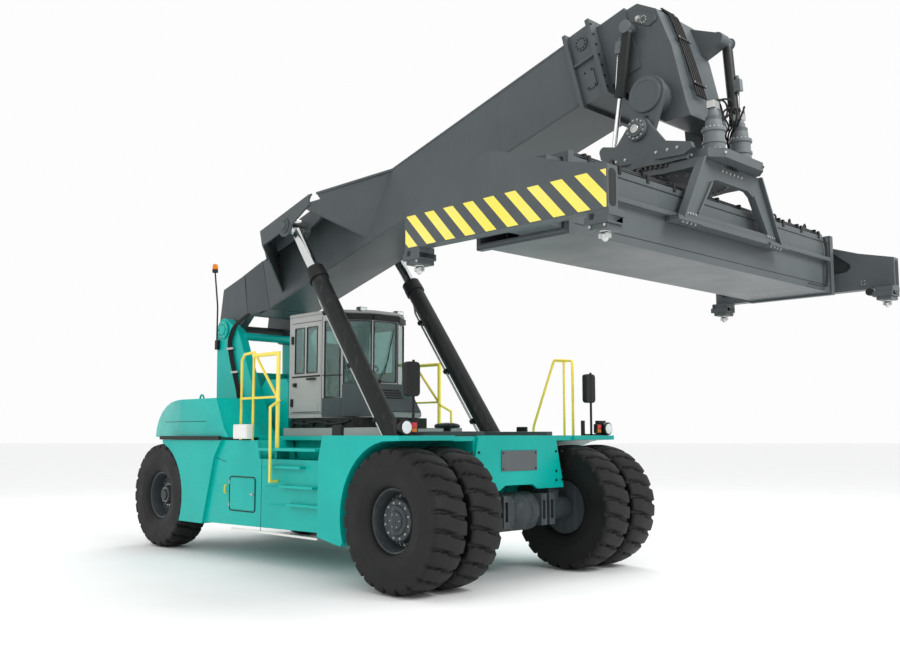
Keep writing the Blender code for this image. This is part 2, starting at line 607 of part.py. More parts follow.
def outer_boom():
    """Box boom with a flared tail on the pivot, the lift cylinders' wings and a flanged front collar."""
    tube = box(0.70, BOOM_LENGTH, -BOOM_HALF_WIDTH, BOOM_HALF_WIDTH, BOOM_LOW, BOOM_HIGH)
    tail = prism([(-0.42, 0.16), (-0.11, 0.80), (0.56, 0.80), (0.50, 0.10), (0.22, -0.02)]
                 + arc((0, 0), 0.17, -20, -170, 8) + [(-0.30, 0.05)],
                 -TAIL_HALF_WIDTH, TAIL_HALF_WIDTH, "y")
    flare = hexahedron([(0.48, -TAIL_HALF_WIDTH, 0.10), (0.48, TAIL_HALF_WIDTH, 0.10),
                        (0.48, TAIL_HALF_WIDTH, 0.80), (0.48, -TAIL_HALF_WIDTH, 0.80)],
                       [(1.00, -BOOM_HALF_WIDTH - 0.005, BOOM_LOW - 0.005),
                        (1.00, BOOM_HALF_WIDTH + 0.005, BOOM_LOW - 0.005),
                        (1.00, BOOM_HALF_WIDTH + 0.005, BOOM_HIGH + 0.005),
                        (1.00, -BOOM_HALF_WIDTH - 0.005, BOOM_HIGH + 0.005)])
    hollow = box(-0.60, 0.60, -TAIL_HALF_WIDTH + 0.14, TAIL_HALF_WIDTH - 0.14, -0.4, 0.66)
    tail = cut(tail, hollow)
    shell = joined(tube, flare, tail)
    cross_tube = rod((0, -TAIL_HALF_WIDTH + 0.10, 0), (0, TAIL_HALF_WIDTH - 0.10, 0), 0.11)
    wings = []
    for side in (-1, 1):
        outer = EAR_OUTER + EAR_PLATE
        root = side * (BOOM_HALF_WIDTH - 0.01)
        tip = side * outer
        wings.append(prism([(WING_REAR, root), (WING_TIP_REAR, tip), (WING_TIP_FRONT, tip),
                            (WING_FRONT, root)], BOOM_HIGH - 0.035, BOOM_HIGH - 0.002, "z"))
        for low, tip_low in ((WING_BRACE_REAR, [(1.99, 0.62), (1.99, 0.87)]),
                             (WING_BRACE_FRONT, [(3.13, 0.75), (3.253, 0.87)])):
            ends = []
            for y, edge in ((root, low), (tip, tip_low)):
                (x0, z0), (x1, z1) = edge
                ends.append([(x0, y, z0), (x0 + EAR_PLATE, y, z0), (x1 + EAR_PLATE, y, z1), (x1, y, z1)])
            wings.append(hexahedron(*ends))
        for inner, rear, front in ((EAR_INNER - EAR_PLATE, 1.90, 3.60),
                                   (EAR_OUTER, WING_TIP_REAR, WING_TIP_FRONT)):
            y0, y1 = sorted((side * inner, side * (inner + EAR_PLATE)))
            ear = [(rear, 0.87), (rear, 0.64)] + arc(EYE_ON_BOOM, 0.17, 200, 340, 8)
            ear += [(front - 0.05, 0.74), (front, 0.87)]
            wings.append(prism(ear, y0, y1, "y"))
        cap0, cap1 = sorted((side * (outer - 0.01), side * (outer + 0.03)))
        wings.append(disc_y(EYE_ON_BOOM, cap0, cap1, 0.085))
    collar = [box(7.80, BOOM_LENGTH - 0.02, -0.50, 0.50, -0.02, BOOM_HIGH + 0.012),
              box(7.78, 7.83, -0.555, 0.555, -0.07, BOOM_HIGH + 0.04),
              box(BOOM_LENGTH - 0.055, BOOM_LENGTH, -0.555, 0.555, -0.07, BOOM_HIGH + 0.04)]
    shell = joined(shell, cross_tube, *wings, *collar)
    bore = box(0.80, BOOM_LENGTH + 0.5, -BORE_HALF_WIDTH, BORE_HALF_WIDTH, BORE_LOW, BORE_HIGH)
    slots = [box(2.28, 3.40, *sorted((side * EAR_INNER, side * EAR_OUTER)), BOOM_HIGH - 0.1, BOOM_HIGH + 0.1)
             for side in (-1, 1)]
    return on_boom(cut(shell, bore, *slots))


SLIDE_GAP = 0.0103
HEAD_REAR = BOOM_LENGTH + 0.03  # where the head begins in front of the outer boom's flange
HEAD_FRONT_PIN = (2.97, 6.33)   # upper pin of the front levelling cylinder
HEAD_REAR_PIN = (2.30, 6.42)    # upper pin of the rear levelling cylinder
LUG_INNER_Y = 0.53
LUG_OUTER_Y = 0.60
FRAME_PLATE_INNER = LUG_OUTER_Y + 0.015 + RUN_GAP
TRUNNION = (2.59, 5.53)
TRUNNION_RADIUS = 0.20
LEVEL_Y = 0.50                  # the levelling cylinders' distance from the middle plane
LEVEL_BARREL_RADIUS = 0.055
LEVEL_ROD_RADIUS = 0.028
LEVEL_EYE_HALF = LEVEL_BARREL_RADIUS + 0.002


def inner_boom():
    """Sliding boom with the down-turned head that carries the slewing frame."""
    half = BORE_HALF_WIDTH - SLIDE_GAP
    low, high = BORE_LOW + SEAT_GAP, BORE_HIGH - SLIDE_GAP
    tube = box(INNER_BOOM_REAR, HEAD_REAR + 0.38, -half, half, low, high)
    bore = box(INNER_BOOM_REAR - 0.2, HEAD_REAR + 0.08, -half + INNER_BOOM_WALL, half - INNER_BOOM_WALL,
               low + INNER_BOOM_WALL, high - INNER_BOOM_WALL)
    tube = on_boom(cut(tube, bore))
    head = prism([truck_point(HEAD_REAR, low), truck_point(HEAD_REAR, high), (2.36, 6.72), (2.61, 6.58),
                  (2.80, 6.10), (2.97, 5.40), (3.02, 5.25), (2.70, 5.25), (2.40, 5.45), (2.20, 5.72)],
                 -HEAD_HALF_WIDTH, HEAD_HALF_WIDTH, "y")
    trunnion = disc_y(TRUNNION, -LUG_OUTER_Y - 0.015, LUG_OUTER_Y + 0.015, TRUNNION_RADIUS)
    lugs = []
    for side in (-1, 1):
        y0, y1 = sorted((side * LUG_INNER_Y, side * LUG_OUTER_Y))
        outline = arc(TRUNNION, TRUNNION_RADIUS + 0.03, 0, 180, 10) + arc(LEVEL_PIVOT, 0.14, 180, 360, 10)
        lugs.append(prism(outline, y0, y1, "y"))
        boss0, boss1 = sorted((side * LUG_INNER_Y, side * (FRAME_PLATE_INNER - SEAT_GAP)))
        lugs.append(disc_y(LEVEL_PIVOT, boss0, boss1, 0.10))
    pins = []
    for pin, side in ((HEAD_REAR_PIN, -1), (HEAD_FRONT_PIN, 1)):
        inner0, inner1 = sorted((side * (HEAD_HALF_WIDTH - 0.02),
                                 side * (LEVEL_Y - LEVEL_EYE_HALF - SEAT_GAP)))
        pins.append(disc_y(pin, inner0, inner1, 0.06) if side < 0 else
                    prism([(2.45, 6.45), (2.60, 6.10), (2.90, 6.22)] + arc(pin, 0.07, -60, 100, 6)
                          + [(2.60, 6.55)],
                          inner0 - 0.1, inner1, "y"))
    return joined(head, tube, trunnion, *lugs, *pins)


piece("outer_boom", outer_boom(), "grey_paint", (PIVOT[0], 0, PIVOT[1]))
piece("inner_boom", inner_boom(), "grey_paint", (PIVOT[0], 0, PIVOT[1]))


# ---------------------------------------------------------------- cylinders
def barrel(low_pin, high_pin, y, radius, length, bore, eye_half, eye_radius, sides=ROUND):
    """Cylinder barrel from its pin towards the other pin, with an eye at its base and a collar."""
    start = Vector((low_pin[0], y, low_pin[1]))
    along = (Vector((high_pin[0], y, high_pin[1])) - start).normalized()
    body = turned([(eye_radius * 0.5, 0), (eye_radius * 0.5, radius), (length - radius * 1.2, radius),
                   (length - radius * 1.2, radius * 1.1), (length, radius * 1.1), (length, bore),
                   (eye_radius * 1.6, bore), (eye_radius * 1.6, 0)], start, along, sides)
    eye = disc_y(low_pin, y - eye_half, y + eye_half, eye_radius, sides)
    return joined(body, eye)


def piston_rod(low_pin, high_pin, y, radius, reach, eye_half, eye_radius, sides=ROUND):
    """Rod from inside the barrel to its own eye on the high pin."""
    end = Vector((high_pin[0], y, high_pin[1]))
    along = (end - Vector((low_pin[0], y, low_pin[1]))).normalized()
    shaft = turned([(0, 0), (0, radius), (reach, radius), (reach, 0)], end - along * reach, along, sides)
    eye = disc_y(high_pin, y - eye_half, y + eye_half, eye_radius, sides)
    return joined(shaft, eye)


LIFT_CLOSED_REACH = 3.55       # rod length from its eye
sided("lift_barrel", barrel(LIFT_BASE, LIFT_EYE, -LIFT_Y, LIFT_BARREL_RADIUS, LIFT_BARREL_LENGTH,
                            LIFT_ROD_RADIUS + SEAT_GAP, LIFT_BARREL_RADIUS + LIFT_EAR_SIDE - SEAT_GAP, 0.12),
      "black_paint", (LIFT_BASE[0], -LIFT_Y, LIFT_BASE[1]))
sided("lift_rod", piston_rod(LIFT_BASE, LIFT_EYE, -LIFT_Y, LIFT_ROD_RADIUS, LIFT_CLOSED_REACH,
                             LIFT_BARREL_RADIUS + WING_EAR_SIDE - SEAT_GAP, 0.125),
      "bright_steel", (LIFT_BASE[0], -LIFT_Y, LIFT_BASE[1]))

FRAME_REAR_PIN = (2.07, 4.98)
FRAME_FRONT_PIN = (3.08, 4.90)
piece("rear_level_barrel", barrel(HEAD_REAR_PIN, FRAME_REAR_PIN, -LEVEL_Y, LEVEL_BARREL_RADIUS, 0.80,
                                  LEVEL_ROD_RADIUS + SEAT_GAP, LEVEL_EYE_HALF, 0.055, 16),
      "grey_paint", (HEAD_REAR_PIN[0], -LEVEL_Y, HEAD_REAR_PIN[1]))
piece("rear_level_rod", piston_rod(HEAD_REAR_PIN, FRAME_REAR_PIN, -LEVEL_Y, LEVEL_ROD_RADIUS, 0.95,
                                   LEVEL_EYE_HALF, 0.05, 16),
      "bright_steel", (HEAD_REAR_PIN[0], -LEVEL_Y, HEAD_REAR_PIN[1]))
piece("front_level_barrel", barrel(HEAD_FRONT_PIN, FRAME_FRONT_PIN, LEVEL_Y, LEVEL_BARREL_RADIUS, 1.00,
                                   LEVEL_ROD_RADIUS + SEAT_GAP, LEVEL_EYE_HALF, 0.055, 16),
      "grey_paint", (HEAD_FRONT_PIN[0], LEVEL_Y, HEAD_FRONT_PIN[1]))
piece("front_level_rod", piston_rod(HEAD_FRONT_PIN, FRAME_FRONT_PIN, LEVEL_Y, LEVEL_ROD_RADIUS, 1.20,
                                    LEVEL_EYE_HALF, 0.05, 16),
      "bright_steel", (HEAD_FRONT_PIN[0], LEVEL_Y, HEAD_FRONT_PIN[1]))

# ---------------------------------------------------------------- slewing frame and spreader
FRAME_PLATE_OUTER = FRAME_PLATE_INNER + 0.06
RING_TOP = 4.80
RING_BOTTOM = 4.70
BRACKET_TOP = RING_BOTTOM - SEAT_GAP
BRACKET_PLATE = 0.10
BEAM_RAIL = 0.06           # how far the beam's side rails stand out over the hangers' lips
HANGER_LIP_TOP = 4.00


def slewing_frame():
    """Ring plate with two side plates on the level pivot, the levelling cylinders' ears and two motors."""
    ring = rod((SLEW_X, 0, RING_BOTTOM), (SLEW_X, 0, RING_TOP), SLEW_RING_RADIUS, 24)
    nose = prism([(SLEW_X, -0.60), (3.30, -0.55), (3.42, -0.40), (3.42, 0.40), (3.30, 0.55), (SLEW_X, 0.60)],
                 RING_BOTTOM, RING_TOP, "z")
    parts = [nose]
    for side in (-1, 1):
        y0, y1 = sorted((side * FRAME_PLATE_INNER, side * FRAME_PLATE_OUTER))
        outline = [(2.03, 4.90), (2.15, 4.78), (3.10, 4.74), (3.20, 4.80), (3.18, 4.86), (2.86, 4.94)]
        outline += arc(LEVEL_PIVOT, 0.15, 20, 160, 8) + [(2.24, 5.00)] + arc(FRAME_REAR_PIN, 0.06, 60, 210, 5)
        parts.append(prism(outline, y0, y1, "y"))
        deck0, deck1 = sorted((side * 0.35, side * (FRAME_PLATE_INNER + 0.03)))
        parts.append(box(2.20, 3.10, deck0, deck1, RING_BOTTOM + 0.004, RING_TOP))
        boss0, boss1 = sorted((side * (FRAME_PLATE_OUTER - 0.01), side * (FRAME_PLATE_OUTER + 0.03)))
        parts.append(disc_y(LEVEL_PIVOT, boss0, boss1, 0.10))
        parts.append(rod((3.22, side * 0.28, RING_TOP - 0.02), (3.22, side * 0.28, 5.20), 0.085))
    rear0 = -FRAME_PLATE_INNER - 0.02
    parts.append(disc_y(FRAME_REAR_PIN, rear0, -LEVEL_Y - LEVEL_EYE_HALF - SEAT_GAP, 0.03, 12))
    front_ear = [(2.92, 4.76), (3.20, 4.76)] + arc(FRAME_FRONT_PIN, 0.07, 0, 180, 6)
    ear_face = LEVEL_Y + LEVEL_EYE_HALF + SEAT_GAP
    parts.append(prism(front_ear, ear_face, ear_face + 0.03, "y"))
    return joined(ring, *parts)


def spreader_bracket():
    """Ring below the slewing frame with the two trapezoid hangers that slide along the beam."""
    ring = turned([(0, 0.35), (0, 0.66), (BRACKET_PLATE, 0.66), (BRACKET_PLATE, 0.35)],
                  (SLEW_X, 0, BRACKET_TOP - BRACKET_PLATE), (0, 0, 1), 24)
    parts = []
    arm = box(BEAM_REAR - 0.11, BEAM_FRONT + 0.11, -0.62, 0.62, BRACKET_TOP - BRACKET_PLATE + 0.003,
              BRACKET_TOP - 0.003)
    parts.append(arm)
    for face, out in ((BEAM_FRONT, 1), (BEAM_REAR, -1)):
        x0, x1 = sorted((face + out * (BEAM_RAIL + RUN_GAP), face + out * 0.13))
        hanger = prism([(-1.00, HANGER_LIP_TOP - 0.02), (1.00, HANGER_LIP_TOP - 0.02),
                        (0.58, BRACKET_TOP - 0.004), (-0.58, BRACKET_TOP - 0.004)],
                       x0, x1, "x")
        window = prism([(-0.71, 4.07), (0.71, 4.07), (0.44, 4.45), (0.34, 4.50), (-0.34, 4.50),
                        (-0.44, 4.45)],
                       x0 - 0.1, x1 + 0.1, "x")
        parts.append(cut(hanger, window))
        lip0, lip1 = sorted((face + out * RUN_GAP, face + out * 0.16))
        parts.append(box(lip0, lip1, -1.12, 1.12, HANGER_LIP_TOP - 0.05, HANGER_LIP_TOP))
    return joined(ring, *parts)


CHANNEL_MID = (BEAM_REAR + BEAM_FRONT) / 2
CHANNEL_WEB = 0.015


def channel(front):
    """The space inside the beam for one telescope, as x limits."""
    if front:
        return CHANNEL_MID + CHANNEL_WEB, BEAM_FRONT - BEAM_WALL
    return BEAM_REAR + BEAM_WALL, CHANNEL_MID - CHANNEL_WEB


def spreader_beam():
    """Main box of the spreader, open at both ends, with a channel for each telescope and rub rails."""
    body = box(BEAM_REAR, BEAM_FRONT, -BEAM_HALF_LENGTH, BEAM_HALF_LENGTH, BEAM_BOTTOM, BEAM_TOP)
    collars = [box(BEAM_REAR - 0.03, BEAM_FRONT + 0.03, y - 0.04, y + 0.04, BEAM_BOTTOM - 0.03,
                   BEAM_TOP + 0.03)
               for y in (-BEAM_HALF_LENGTH + 0.05, BEAM_HALF_LENGTH - 0.05)]
    rails = [box(min(face, face + out * BEAM_RAIL), max(face, face + out * BEAM_RAIL), -2.55, 2.55,
                 HANGER_LIP_TOP + SEAT_GAP, HANGER_LIP_TOP + 0.05)
             for face, out in ((BEAM_REAR, -1), (BEAM_FRONT, 1))]
    body = joined(body, *collars, *rails)
    tools = []
    for front in (False, True):
        x0, x1 = channel(front)
        tools.append(box(x0, x1, -3.2, 3.2, BEAM_BOTTOM + BEAM_WALL, BEAM_TOP - BEAM_WALL))
    return cut(body, *tools)


def telescope(side):
    """One sliding beam with its end frame, corner housings and twistlocks; side is -1 on the right."""
    x0, x1 = channel(front=side < 0)
    x0, x1 = x0 + TELESCOPE_GAP, x1 - TELESCOPE_GAP
    z0 = BEAM_BOTTOM + BEAM_WALL + SEAT_GAP
    z1 = BEAM_TOP - BEAM_WALL - TELESCOPE_GAP
    y_out = side * (END_FRAME_Y - 0.05)
    y_in = side * (END_FRAME_Y - TELESCOPE_LENGTH)
    slider = box(x0, x1, min(y_out, y_in), max(y_out, y_in), z0, z1)
    hollow = box(x0 + 0.025, x1 - 0.025, min(side * (END_FRAME_Y - 0.3), y_in - side * 0.2),
                 max(side * (END_FRAME_Y - 0.3), y_in - side * 0.2), z0 + 0.025, z1 - 0.025)
    slider = cut(slider, hollow)
    half = END_FRAME_THICKNESS / 2
    f0, f1 = sorted((side * (END_FRAME_Y - half), side * (END_FRAME_Y + half)))
    outline = [(1.36, 3.65), (SPREADER_FRONT, 3.65), (SPREADER_FRONT, 4.02), (3.40, 4.12), (2.62, 4.38),
               (2.44, 4.40), (1.36, 3.98)]
    frame = prism(outline, f0, f1, "y")
    lightening = [(3.00, 4.16), (3.06, 4.17), (3.28, 4.00), (3.29, 3.95), (3.24, 3.90), (3.02, 3.88),
                  (2.98, 3.92)]
    inside = side * (END_FRAME_Y - half)
    frame = cut(frame, prism(lightening, inside - 0.10, inside + 0.10, "y"))
    parts = [slider]
    for x in (SLEW_X - TWISTLOCK_SPACING_X / 2, SLEW_X + TWISTLOCK_SPACING_X / 2):
        y = side * TWISTLOCK_SPACING_Y / 2
        parts.append(box(x - HOUSING_HALF_LENGTH, x + HOUSING_HALF_LENGTH, y - 0.10, y + 0.10, 3.55, 3.66))
        parts.append(turned([(0, 0), (0, 0.018), (0.05, 0.045), (0.08, 0.045), (0.09, 0.03), (0.12, 0.03),
                             (0.12, 0)], (x, y, TWISTLOCK_TIP), (0, 0, 1), 16))
    return joined(frame, *parts)


piece("slewing_frame", slewing_frame(), "grey_paint", (LEVEL_PIVOT[0], 0, LEVEL_PIVOT[1]))
piece("spreader_bracket", spreader_bracket(), "grey_paint", (SLEW_X, 0, BRACKET_TOP))
piece("spreader_beam", spreader_beam(), "grey_paint", (SLEW_X, 0, BEAM_TOP))
piece("telescope_right", telescope(-1), "grey_paint", (SLEW_X, -END_FRAME_Y, BEAM_BOTTOM))
piece("telescope_left", telescope(1), "grey_paint", (SLEW_X, END_FRAME_Y, BEAM_BOTTOM))

# ---------------------------------------------------------------- cab
DOOR_REAR = CAB_REAR + 0.07
DOOR_FRONT = CAB_SIDE_FRONT - 0.05
DOOR_LOW = CAB_FLOOR + 0.08
DOOR_HIGH = CAB_ROOF - 0.10
DOOR_GAP = 0.008
CAB_SILL = 2.62


def cab_plan(inset):
    """The cab's outline from above, brought in by the wall."""
    y = CAB_HALF_WIDTH - inset
    return [(CAB_REAR + inset, -y), (CAB_SIDE_FRONT, -y), (-2.76 - inset, -0.60 + inset * 0.7),
            (CAB_FRONT - inset, -0.24), (CAB_FRONT - inset, 0.24), (-2.76 - inset, 0.60 - inset * 0.7),
            (CAB_SIDE_FRONT, y), (CAB_REAR + inset, y)]


def wall_window(start, end, low, high, margin):
    """A cutter through the wall between two corners of the plan."""
    a, b = Vector((*start, 0)), Vector((*end, 0))
    along = (b - a).normalized()
    out = Vector((along.y, -along.x, 0)) * 0.2
    a, b = a + along * margin, b - along * margin
    ring = [a - out, b - out, b + out, a + out]
    return hexahedron([p + Vector((0, 0, low)) for p in ring], [p + Vector((0, 0, high)) for p in ring])


def cab_shell():
    """Hollow cab with its floor, roof and posts; windows and the doorway are cut through."""
    plan = cab_plan(0)
    shell = prism(plan, CAB_FLOOR, CAB_ROOF, "z")
    nose = prism([(-2.70, CAB_FLOOR), (-2.22, CAB_FLOOR), (-2.20, 2.14), (-2.50, 2.56), (-2.70, 2.56)],
                 -0.46, 0.46, "y")
    cap = prism([(x, y * 0.94) for x, y in cab_plan(0.03)], CAB_ROOF - 0.01, CAB_ROOF + 0.045, "z")
    shell = joined(shell, nose, cap)
    room = prism(cab_plan(CAB_WALL), CAB_FLOOR + CAB_WALL, CAB_ROOF - CAB_WALL, "z")
    tools = [room]
    tools.append(wall_window(plan[1], plan[2], CAB_SILL - 0.25, CAB_ROOF - 0.12, 0.035))
    tools.append(wall_window(plan[2], plan[3], CAB_SILL - 0.05, CAB_ROOF - 0.12, 0.02))
    tools.append(wall_window(plan[3], plan[4], CAB_SILL - 0.02, CAB_ROOF - 0.12, 0.02))
    tools.append(wall_window(plan[4], plan[5], CAB_SILL - 0.05, CAB_ROOF - 0.12, 0.02))
    tools.append(wall_window(plan[5], plan[6], CAB_SILL - 0.25, CAB_ROOF - 0.12, 0.035))
    tools.append(box(DOOR_REAR, DOOR_FRONT, -CAB_HALF_WIDTH - 0.1, -CAB_HALF_WIDTH + CAB_WALL + 0.05,
                     DOOR_LOW, DOOR_HIGH))
    tools.append(box(CAB_REAR + 0.12, CAB_SIDE_FRONT - 0.08, CAB_HALF_WIDTH - 0.2, CAB_HALF_WIDTH + 0.1, 2.80,
                     CAB_ROOF - 0.14))
    tools.append(box(CAB_REAR - 0.1, CAB_REAR + 0.2, -0.55, 0.55, 2.80, CAB_ROOF - 0.14))
    return cut(shell, *tools)


def cab_door():
    """Door with its window, hinged at its rear edge."""
    outer = -CAB_HALF_WIDTH
    leaf = box(DOOR_REAR + SEAT_GAP, DOOR_FRONT - DOOR_GAP, outer, outer + CAB_WALL - 0.01,
               DOOR_LOW + DOOR_GAP, DOOR_HIGH - DOOR_GAP)
    pane = box(DOOR_REAR + 0.08, DOOR_FRONT - 0.08, outer - 0.1, outer + 0.2, 2.74, DOOR_HIGH - 0.08)
    return cut(leaf, pane)


def operator_seat():
    cushion = box(-3.62, -3.12, -0.26, 0.26, 2.50, 2.62)
    back = prism([(-3.66, 2.56), (-3.54, 2.56), (-3.66, 3.25), (-3.77, 3.25)], -0.25, 0.25, "y")
    stand = box(-3.56, -3.20, -0.18, 0.18, CAB_FLOOR + CAB_WALL + SEAT_GAP, 2.52)
    return joined(cushion, back, stand)


def steering_console():
    """Column with its wheel in front of the seat."""
    post = prism([(-2.88, 2.13), (-2.72, 2.13), (-2.84, 2.74), (-2.92, 2.72)], -0.10, 0.10, "y")
    base = box(-2.92, -2.70, -0.13, 0.13, CAB_FLOOR + CAB_WALL + SEAT_GAP, 2.20)
    tilt = Vector((-0.45, 0, 0.89)).normalized()
    hub = Vector((-2.90, 0, 2.72))
    column = rod(hub - tilt * 0.06, hub + tilt * 0.06, 0.025, 12)
    rim = turned([(0.045, 0.165), (0.045, 0.19), (0.07, 0.19), (0.07, 0.165)], hub, tilt, 20)
    spoke = hexahedron([hub + tilt * 0.048 + Vector((0, y, 0)) for y in (-0.17, 0.17)]
                       + [hub + tilt * 0.066 + Vector((0, y, 0)) for y in (0.17, -0.17)],
                       [hub + tilt * 0.048 + Vector((0.03, y, 0.015)) for y in (-0.17, 0.17)]
                       + [hub + tilt * 0.066 + Vector((0.03, y, 0.015)) for y in (0.17, -0.17)])
    return joined(base, post, column, spoke, rim)


def cab_carriage():
    """Cross frame between the cab and its rails."""
    frame = box(CAB_REAR + 0.03, -2.35, -0.72, 0.72, CAB_RAIL_TOP + SEAT_GAP, CAB_FLOOR - SEAT_GAP)
    gaps = [box(x, x + 0.40, -0.52, 0.52, 1.8, 2.2) for x in (-3.72, -3.20, -2.80)]
    return cut(frame, *gaps)


def cab_rails():
    rails = [box(-4.05, -1.60, y - 0.07, y + 0.07, DECK_TOP + SEAT_GAP, CAB_RAIL_TOP) for y in (-0.66, 0.66)]
    ties = [box(x, x + 0.10, -0.62, 0.62, DECK_TOP + 0.02, CAB_RAIL_TOP - 0.02) for x in (-4.00, -1.72)]
    return joined(rails[0], *ties, rails[1])


piece("cab_shell", cab_shell(), "cab_paint")
piece("cab_door", cab_door(), "cab_paint", (DOOR_REAR + SEAT_GAP, -CAB_HALF_WIDTH, DOOR_LOW))
piece("operator_seat", operator_seat(), "seat_fabric")
piece("steering_console", steering_console(), "black_paint")
piece("cab_carriage", cab_carriage(), "black_paint")
piece("cab_rails", cab_rails(), "cab_paint")


# ---------------------------------------------------------------- rails, mirrors and lamps
def handrail():
    """Rail beside the steps, with its posts on the side box, on the right."""
    y = -SIDE_BOX_OUTER_Y + 0.05
    radius = 0.021
    back_foot = COUNTERWEIGHT_BOTTOM - 0.04 + SEAT_GAP
    front_foot = UPPER_TREAD + TREAD_THICKNESS + SEAT_GAP
    out = -TREAD_OUTER_Y - 0.04
    lower_end = 1.18
    return joined(
        bent_tube([(-3.92, y, back_foot), (-3.92, y, 2.92), (-3.85, y, 3.00), (-3.60, y, 3.02),
                   (-2.94, y, 2.30),
                   (-2.88, out, 2.20), (-2.86, out, lower_end),
                   (-2.86, -SIDE_BOX_OUTER_Y - SEAT_GAP, lower_end)], radius, 6),
        bent_tube([(-3.60, y, back_foot), (-3.60, y, 3.012)], radius * 0.92, 8),
        bent_tube([(-3.61, y, 2.97), (-2.97, y, 2.97), (-2.97, y, front_foot)], 0.030, 8),
        bent_tube([(-3.93, y, 2.35), (-2.96, y, 2.35)], radius * 0.85, 6))


def lamp_and_mirror():
    """Front corner lamp on its bracket, and the mirror on its pole, on the right."""
    top = FENDER_TOP + SEAT_GAP
    bracket = box(0.00, 0.06, -1.99, -1.82, top, 2.02)
    foot = box(-0.10, 0.10, -2.00, -1.62, top, top + 0.02)
    lamp = rod((0.05, -1.925, 1.915), (0.15, -1.925, 1.915), 0.065, 16)
    pole = bent_tube([(0.02, -1.70, top + 0.01), (0.02, -1.70, 2.70)], 0.018)
    mirror = box(-0.05, 0.005, -1.80, -1.60, 2.30, 2.66)
    return joined(foot, bracket, lamp, pole, mirror)


def beacon():
    """Warning lamp on a pole that is bolted to the outside of the tower's right plate."""
    face = -TOWER_OUTER_Y - SEAT_GAP
    foot = box(-6.03, -5.95, face - 0.05, face, 3.26, 3.42)
    pole = bent_tube([(-6.00, face - 0.03, 3.28), (-6.00, face - 0.03, 4.00), (-6.11, face - 0.03, 4.62)],
                     0.014)
    cup = turned([(0, 0), (0, 0.05), (0.05, 0.065), (0.11, 0.055), (0.14, 0.0)], (-6.11, face - 0.03, 4.60),
                 (0, 0, 1), 12)
    return joined(foot, pole, cup)


sided("handrail", handrail(), "yellow_paint")
sided("lamp_and_mirror", lamp_and_mirror(), "black_paint")
piece("beacon", beacon(), "amber_lens")
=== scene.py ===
"""Looks of a reach stacker for shipping containers, built around its packed working model.

Sections follow the machine as it is put together: wheels, chassis, boom, spreader, cab, rails and lamps. Sizes are
in metres. Truck axes run forward (x), left (y) and up (z) from the ground under the middle of the front axle.
"""

import json
import math

import bmesh
import bpy
from mathutils import Matrix, Vector


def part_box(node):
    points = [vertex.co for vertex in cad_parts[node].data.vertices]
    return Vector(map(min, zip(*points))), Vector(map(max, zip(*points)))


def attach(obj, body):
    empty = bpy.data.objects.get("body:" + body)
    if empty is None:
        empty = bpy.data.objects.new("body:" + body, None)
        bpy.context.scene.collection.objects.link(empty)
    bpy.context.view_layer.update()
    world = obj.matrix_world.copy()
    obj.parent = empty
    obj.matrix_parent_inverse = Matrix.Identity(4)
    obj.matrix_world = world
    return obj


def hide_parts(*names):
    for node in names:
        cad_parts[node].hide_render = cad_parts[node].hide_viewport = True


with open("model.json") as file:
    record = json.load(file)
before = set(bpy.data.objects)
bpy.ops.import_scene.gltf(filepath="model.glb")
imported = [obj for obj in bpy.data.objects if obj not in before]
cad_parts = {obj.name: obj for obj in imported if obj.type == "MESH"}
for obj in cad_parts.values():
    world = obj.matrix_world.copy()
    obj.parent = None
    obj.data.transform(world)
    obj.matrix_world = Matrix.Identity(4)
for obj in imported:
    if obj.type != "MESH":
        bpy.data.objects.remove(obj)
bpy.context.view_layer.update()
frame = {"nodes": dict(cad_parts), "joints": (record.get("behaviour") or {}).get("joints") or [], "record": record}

# ---------------------------------------------------------------- studio
# Pale seamless floor, a soft sky all round, a large lamp over the front right corner and a weaker one at
# the back. The camera stands low at the front right corner of the truck and looks slightly up at it.
joints = {joint["name"]: joint for joint in frame["joints"]}
axle_low, axle_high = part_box("front_outer_tyre_right")
AXLE_X = (axle_low.x + axle_high.x) / 2
TYRE_RADIUS = (axle_high.z - axle_low.z) / 2
CAMERA_PLACE = (8.360, -9.228, 1.821)
CAMERA_AZIMUTH = math.radians(45.734)
CAMERA_ELEVATION = math.radians(-5.748)
CAMERA_LENS = 38.16
CAMERA_SHIFT_UP = 0.0151
TO_ROW = Matrix.Translation((AXLE_X, 0.0, 0.0))   # truck axes to the model's frame


def linear(hex_colour):
    """An sRGB colour such as #A0B0C0 as linear red, green, blue and alpha."""
    channels = [int(hex_colour[i:i + 2], 16) / 255 for i in (1, 3, 5)]
    return tuple(c / 12.92 if c <= 0.04045 else ((c + 0.055) / 1.055) ** 2.4 for c in channels) + (1.0,)


def add_node(tree, kind, settings=None, links=None):
    """Adds a node, with properties or input values from settings and inputs joined to the links' outputs."""
    made = tree.nodes.new(kind)
    for key, value in (settings or {}).items():
        if isinstance(key, str) and hasattr(made, key):
            setattr(made, key, value)
        else:
            made.inputs[key].default_value = value
    for key, output in (links or {}).items():
        tree.links.new(output, made.inputs[key])
    return made


def new_material(name, colour, roughness, metallic=0.0, **more):
    """A material with its uniform values on the shader's own sockets; more names further sockets."""
    made = bpy.data.materials.new(name)
    made.use_nodes = True
    shader = made.node_tree.nodes["Principled BSDF"]
    shader.inputs["Base Color"].default_value = linear(colour)
    shader.inputs["Roughness"].default_value = roughness
    shader.inputs["Metallic"].default_value = metallic
    shader.inputs["Specular IOR Level"].default_value = 0.5 if metallic else 0.25
    for socket, value in more.items():
        shader.inputs[socket.replace("_", " ")].default_value = value
    return made, made.node_tree, shader


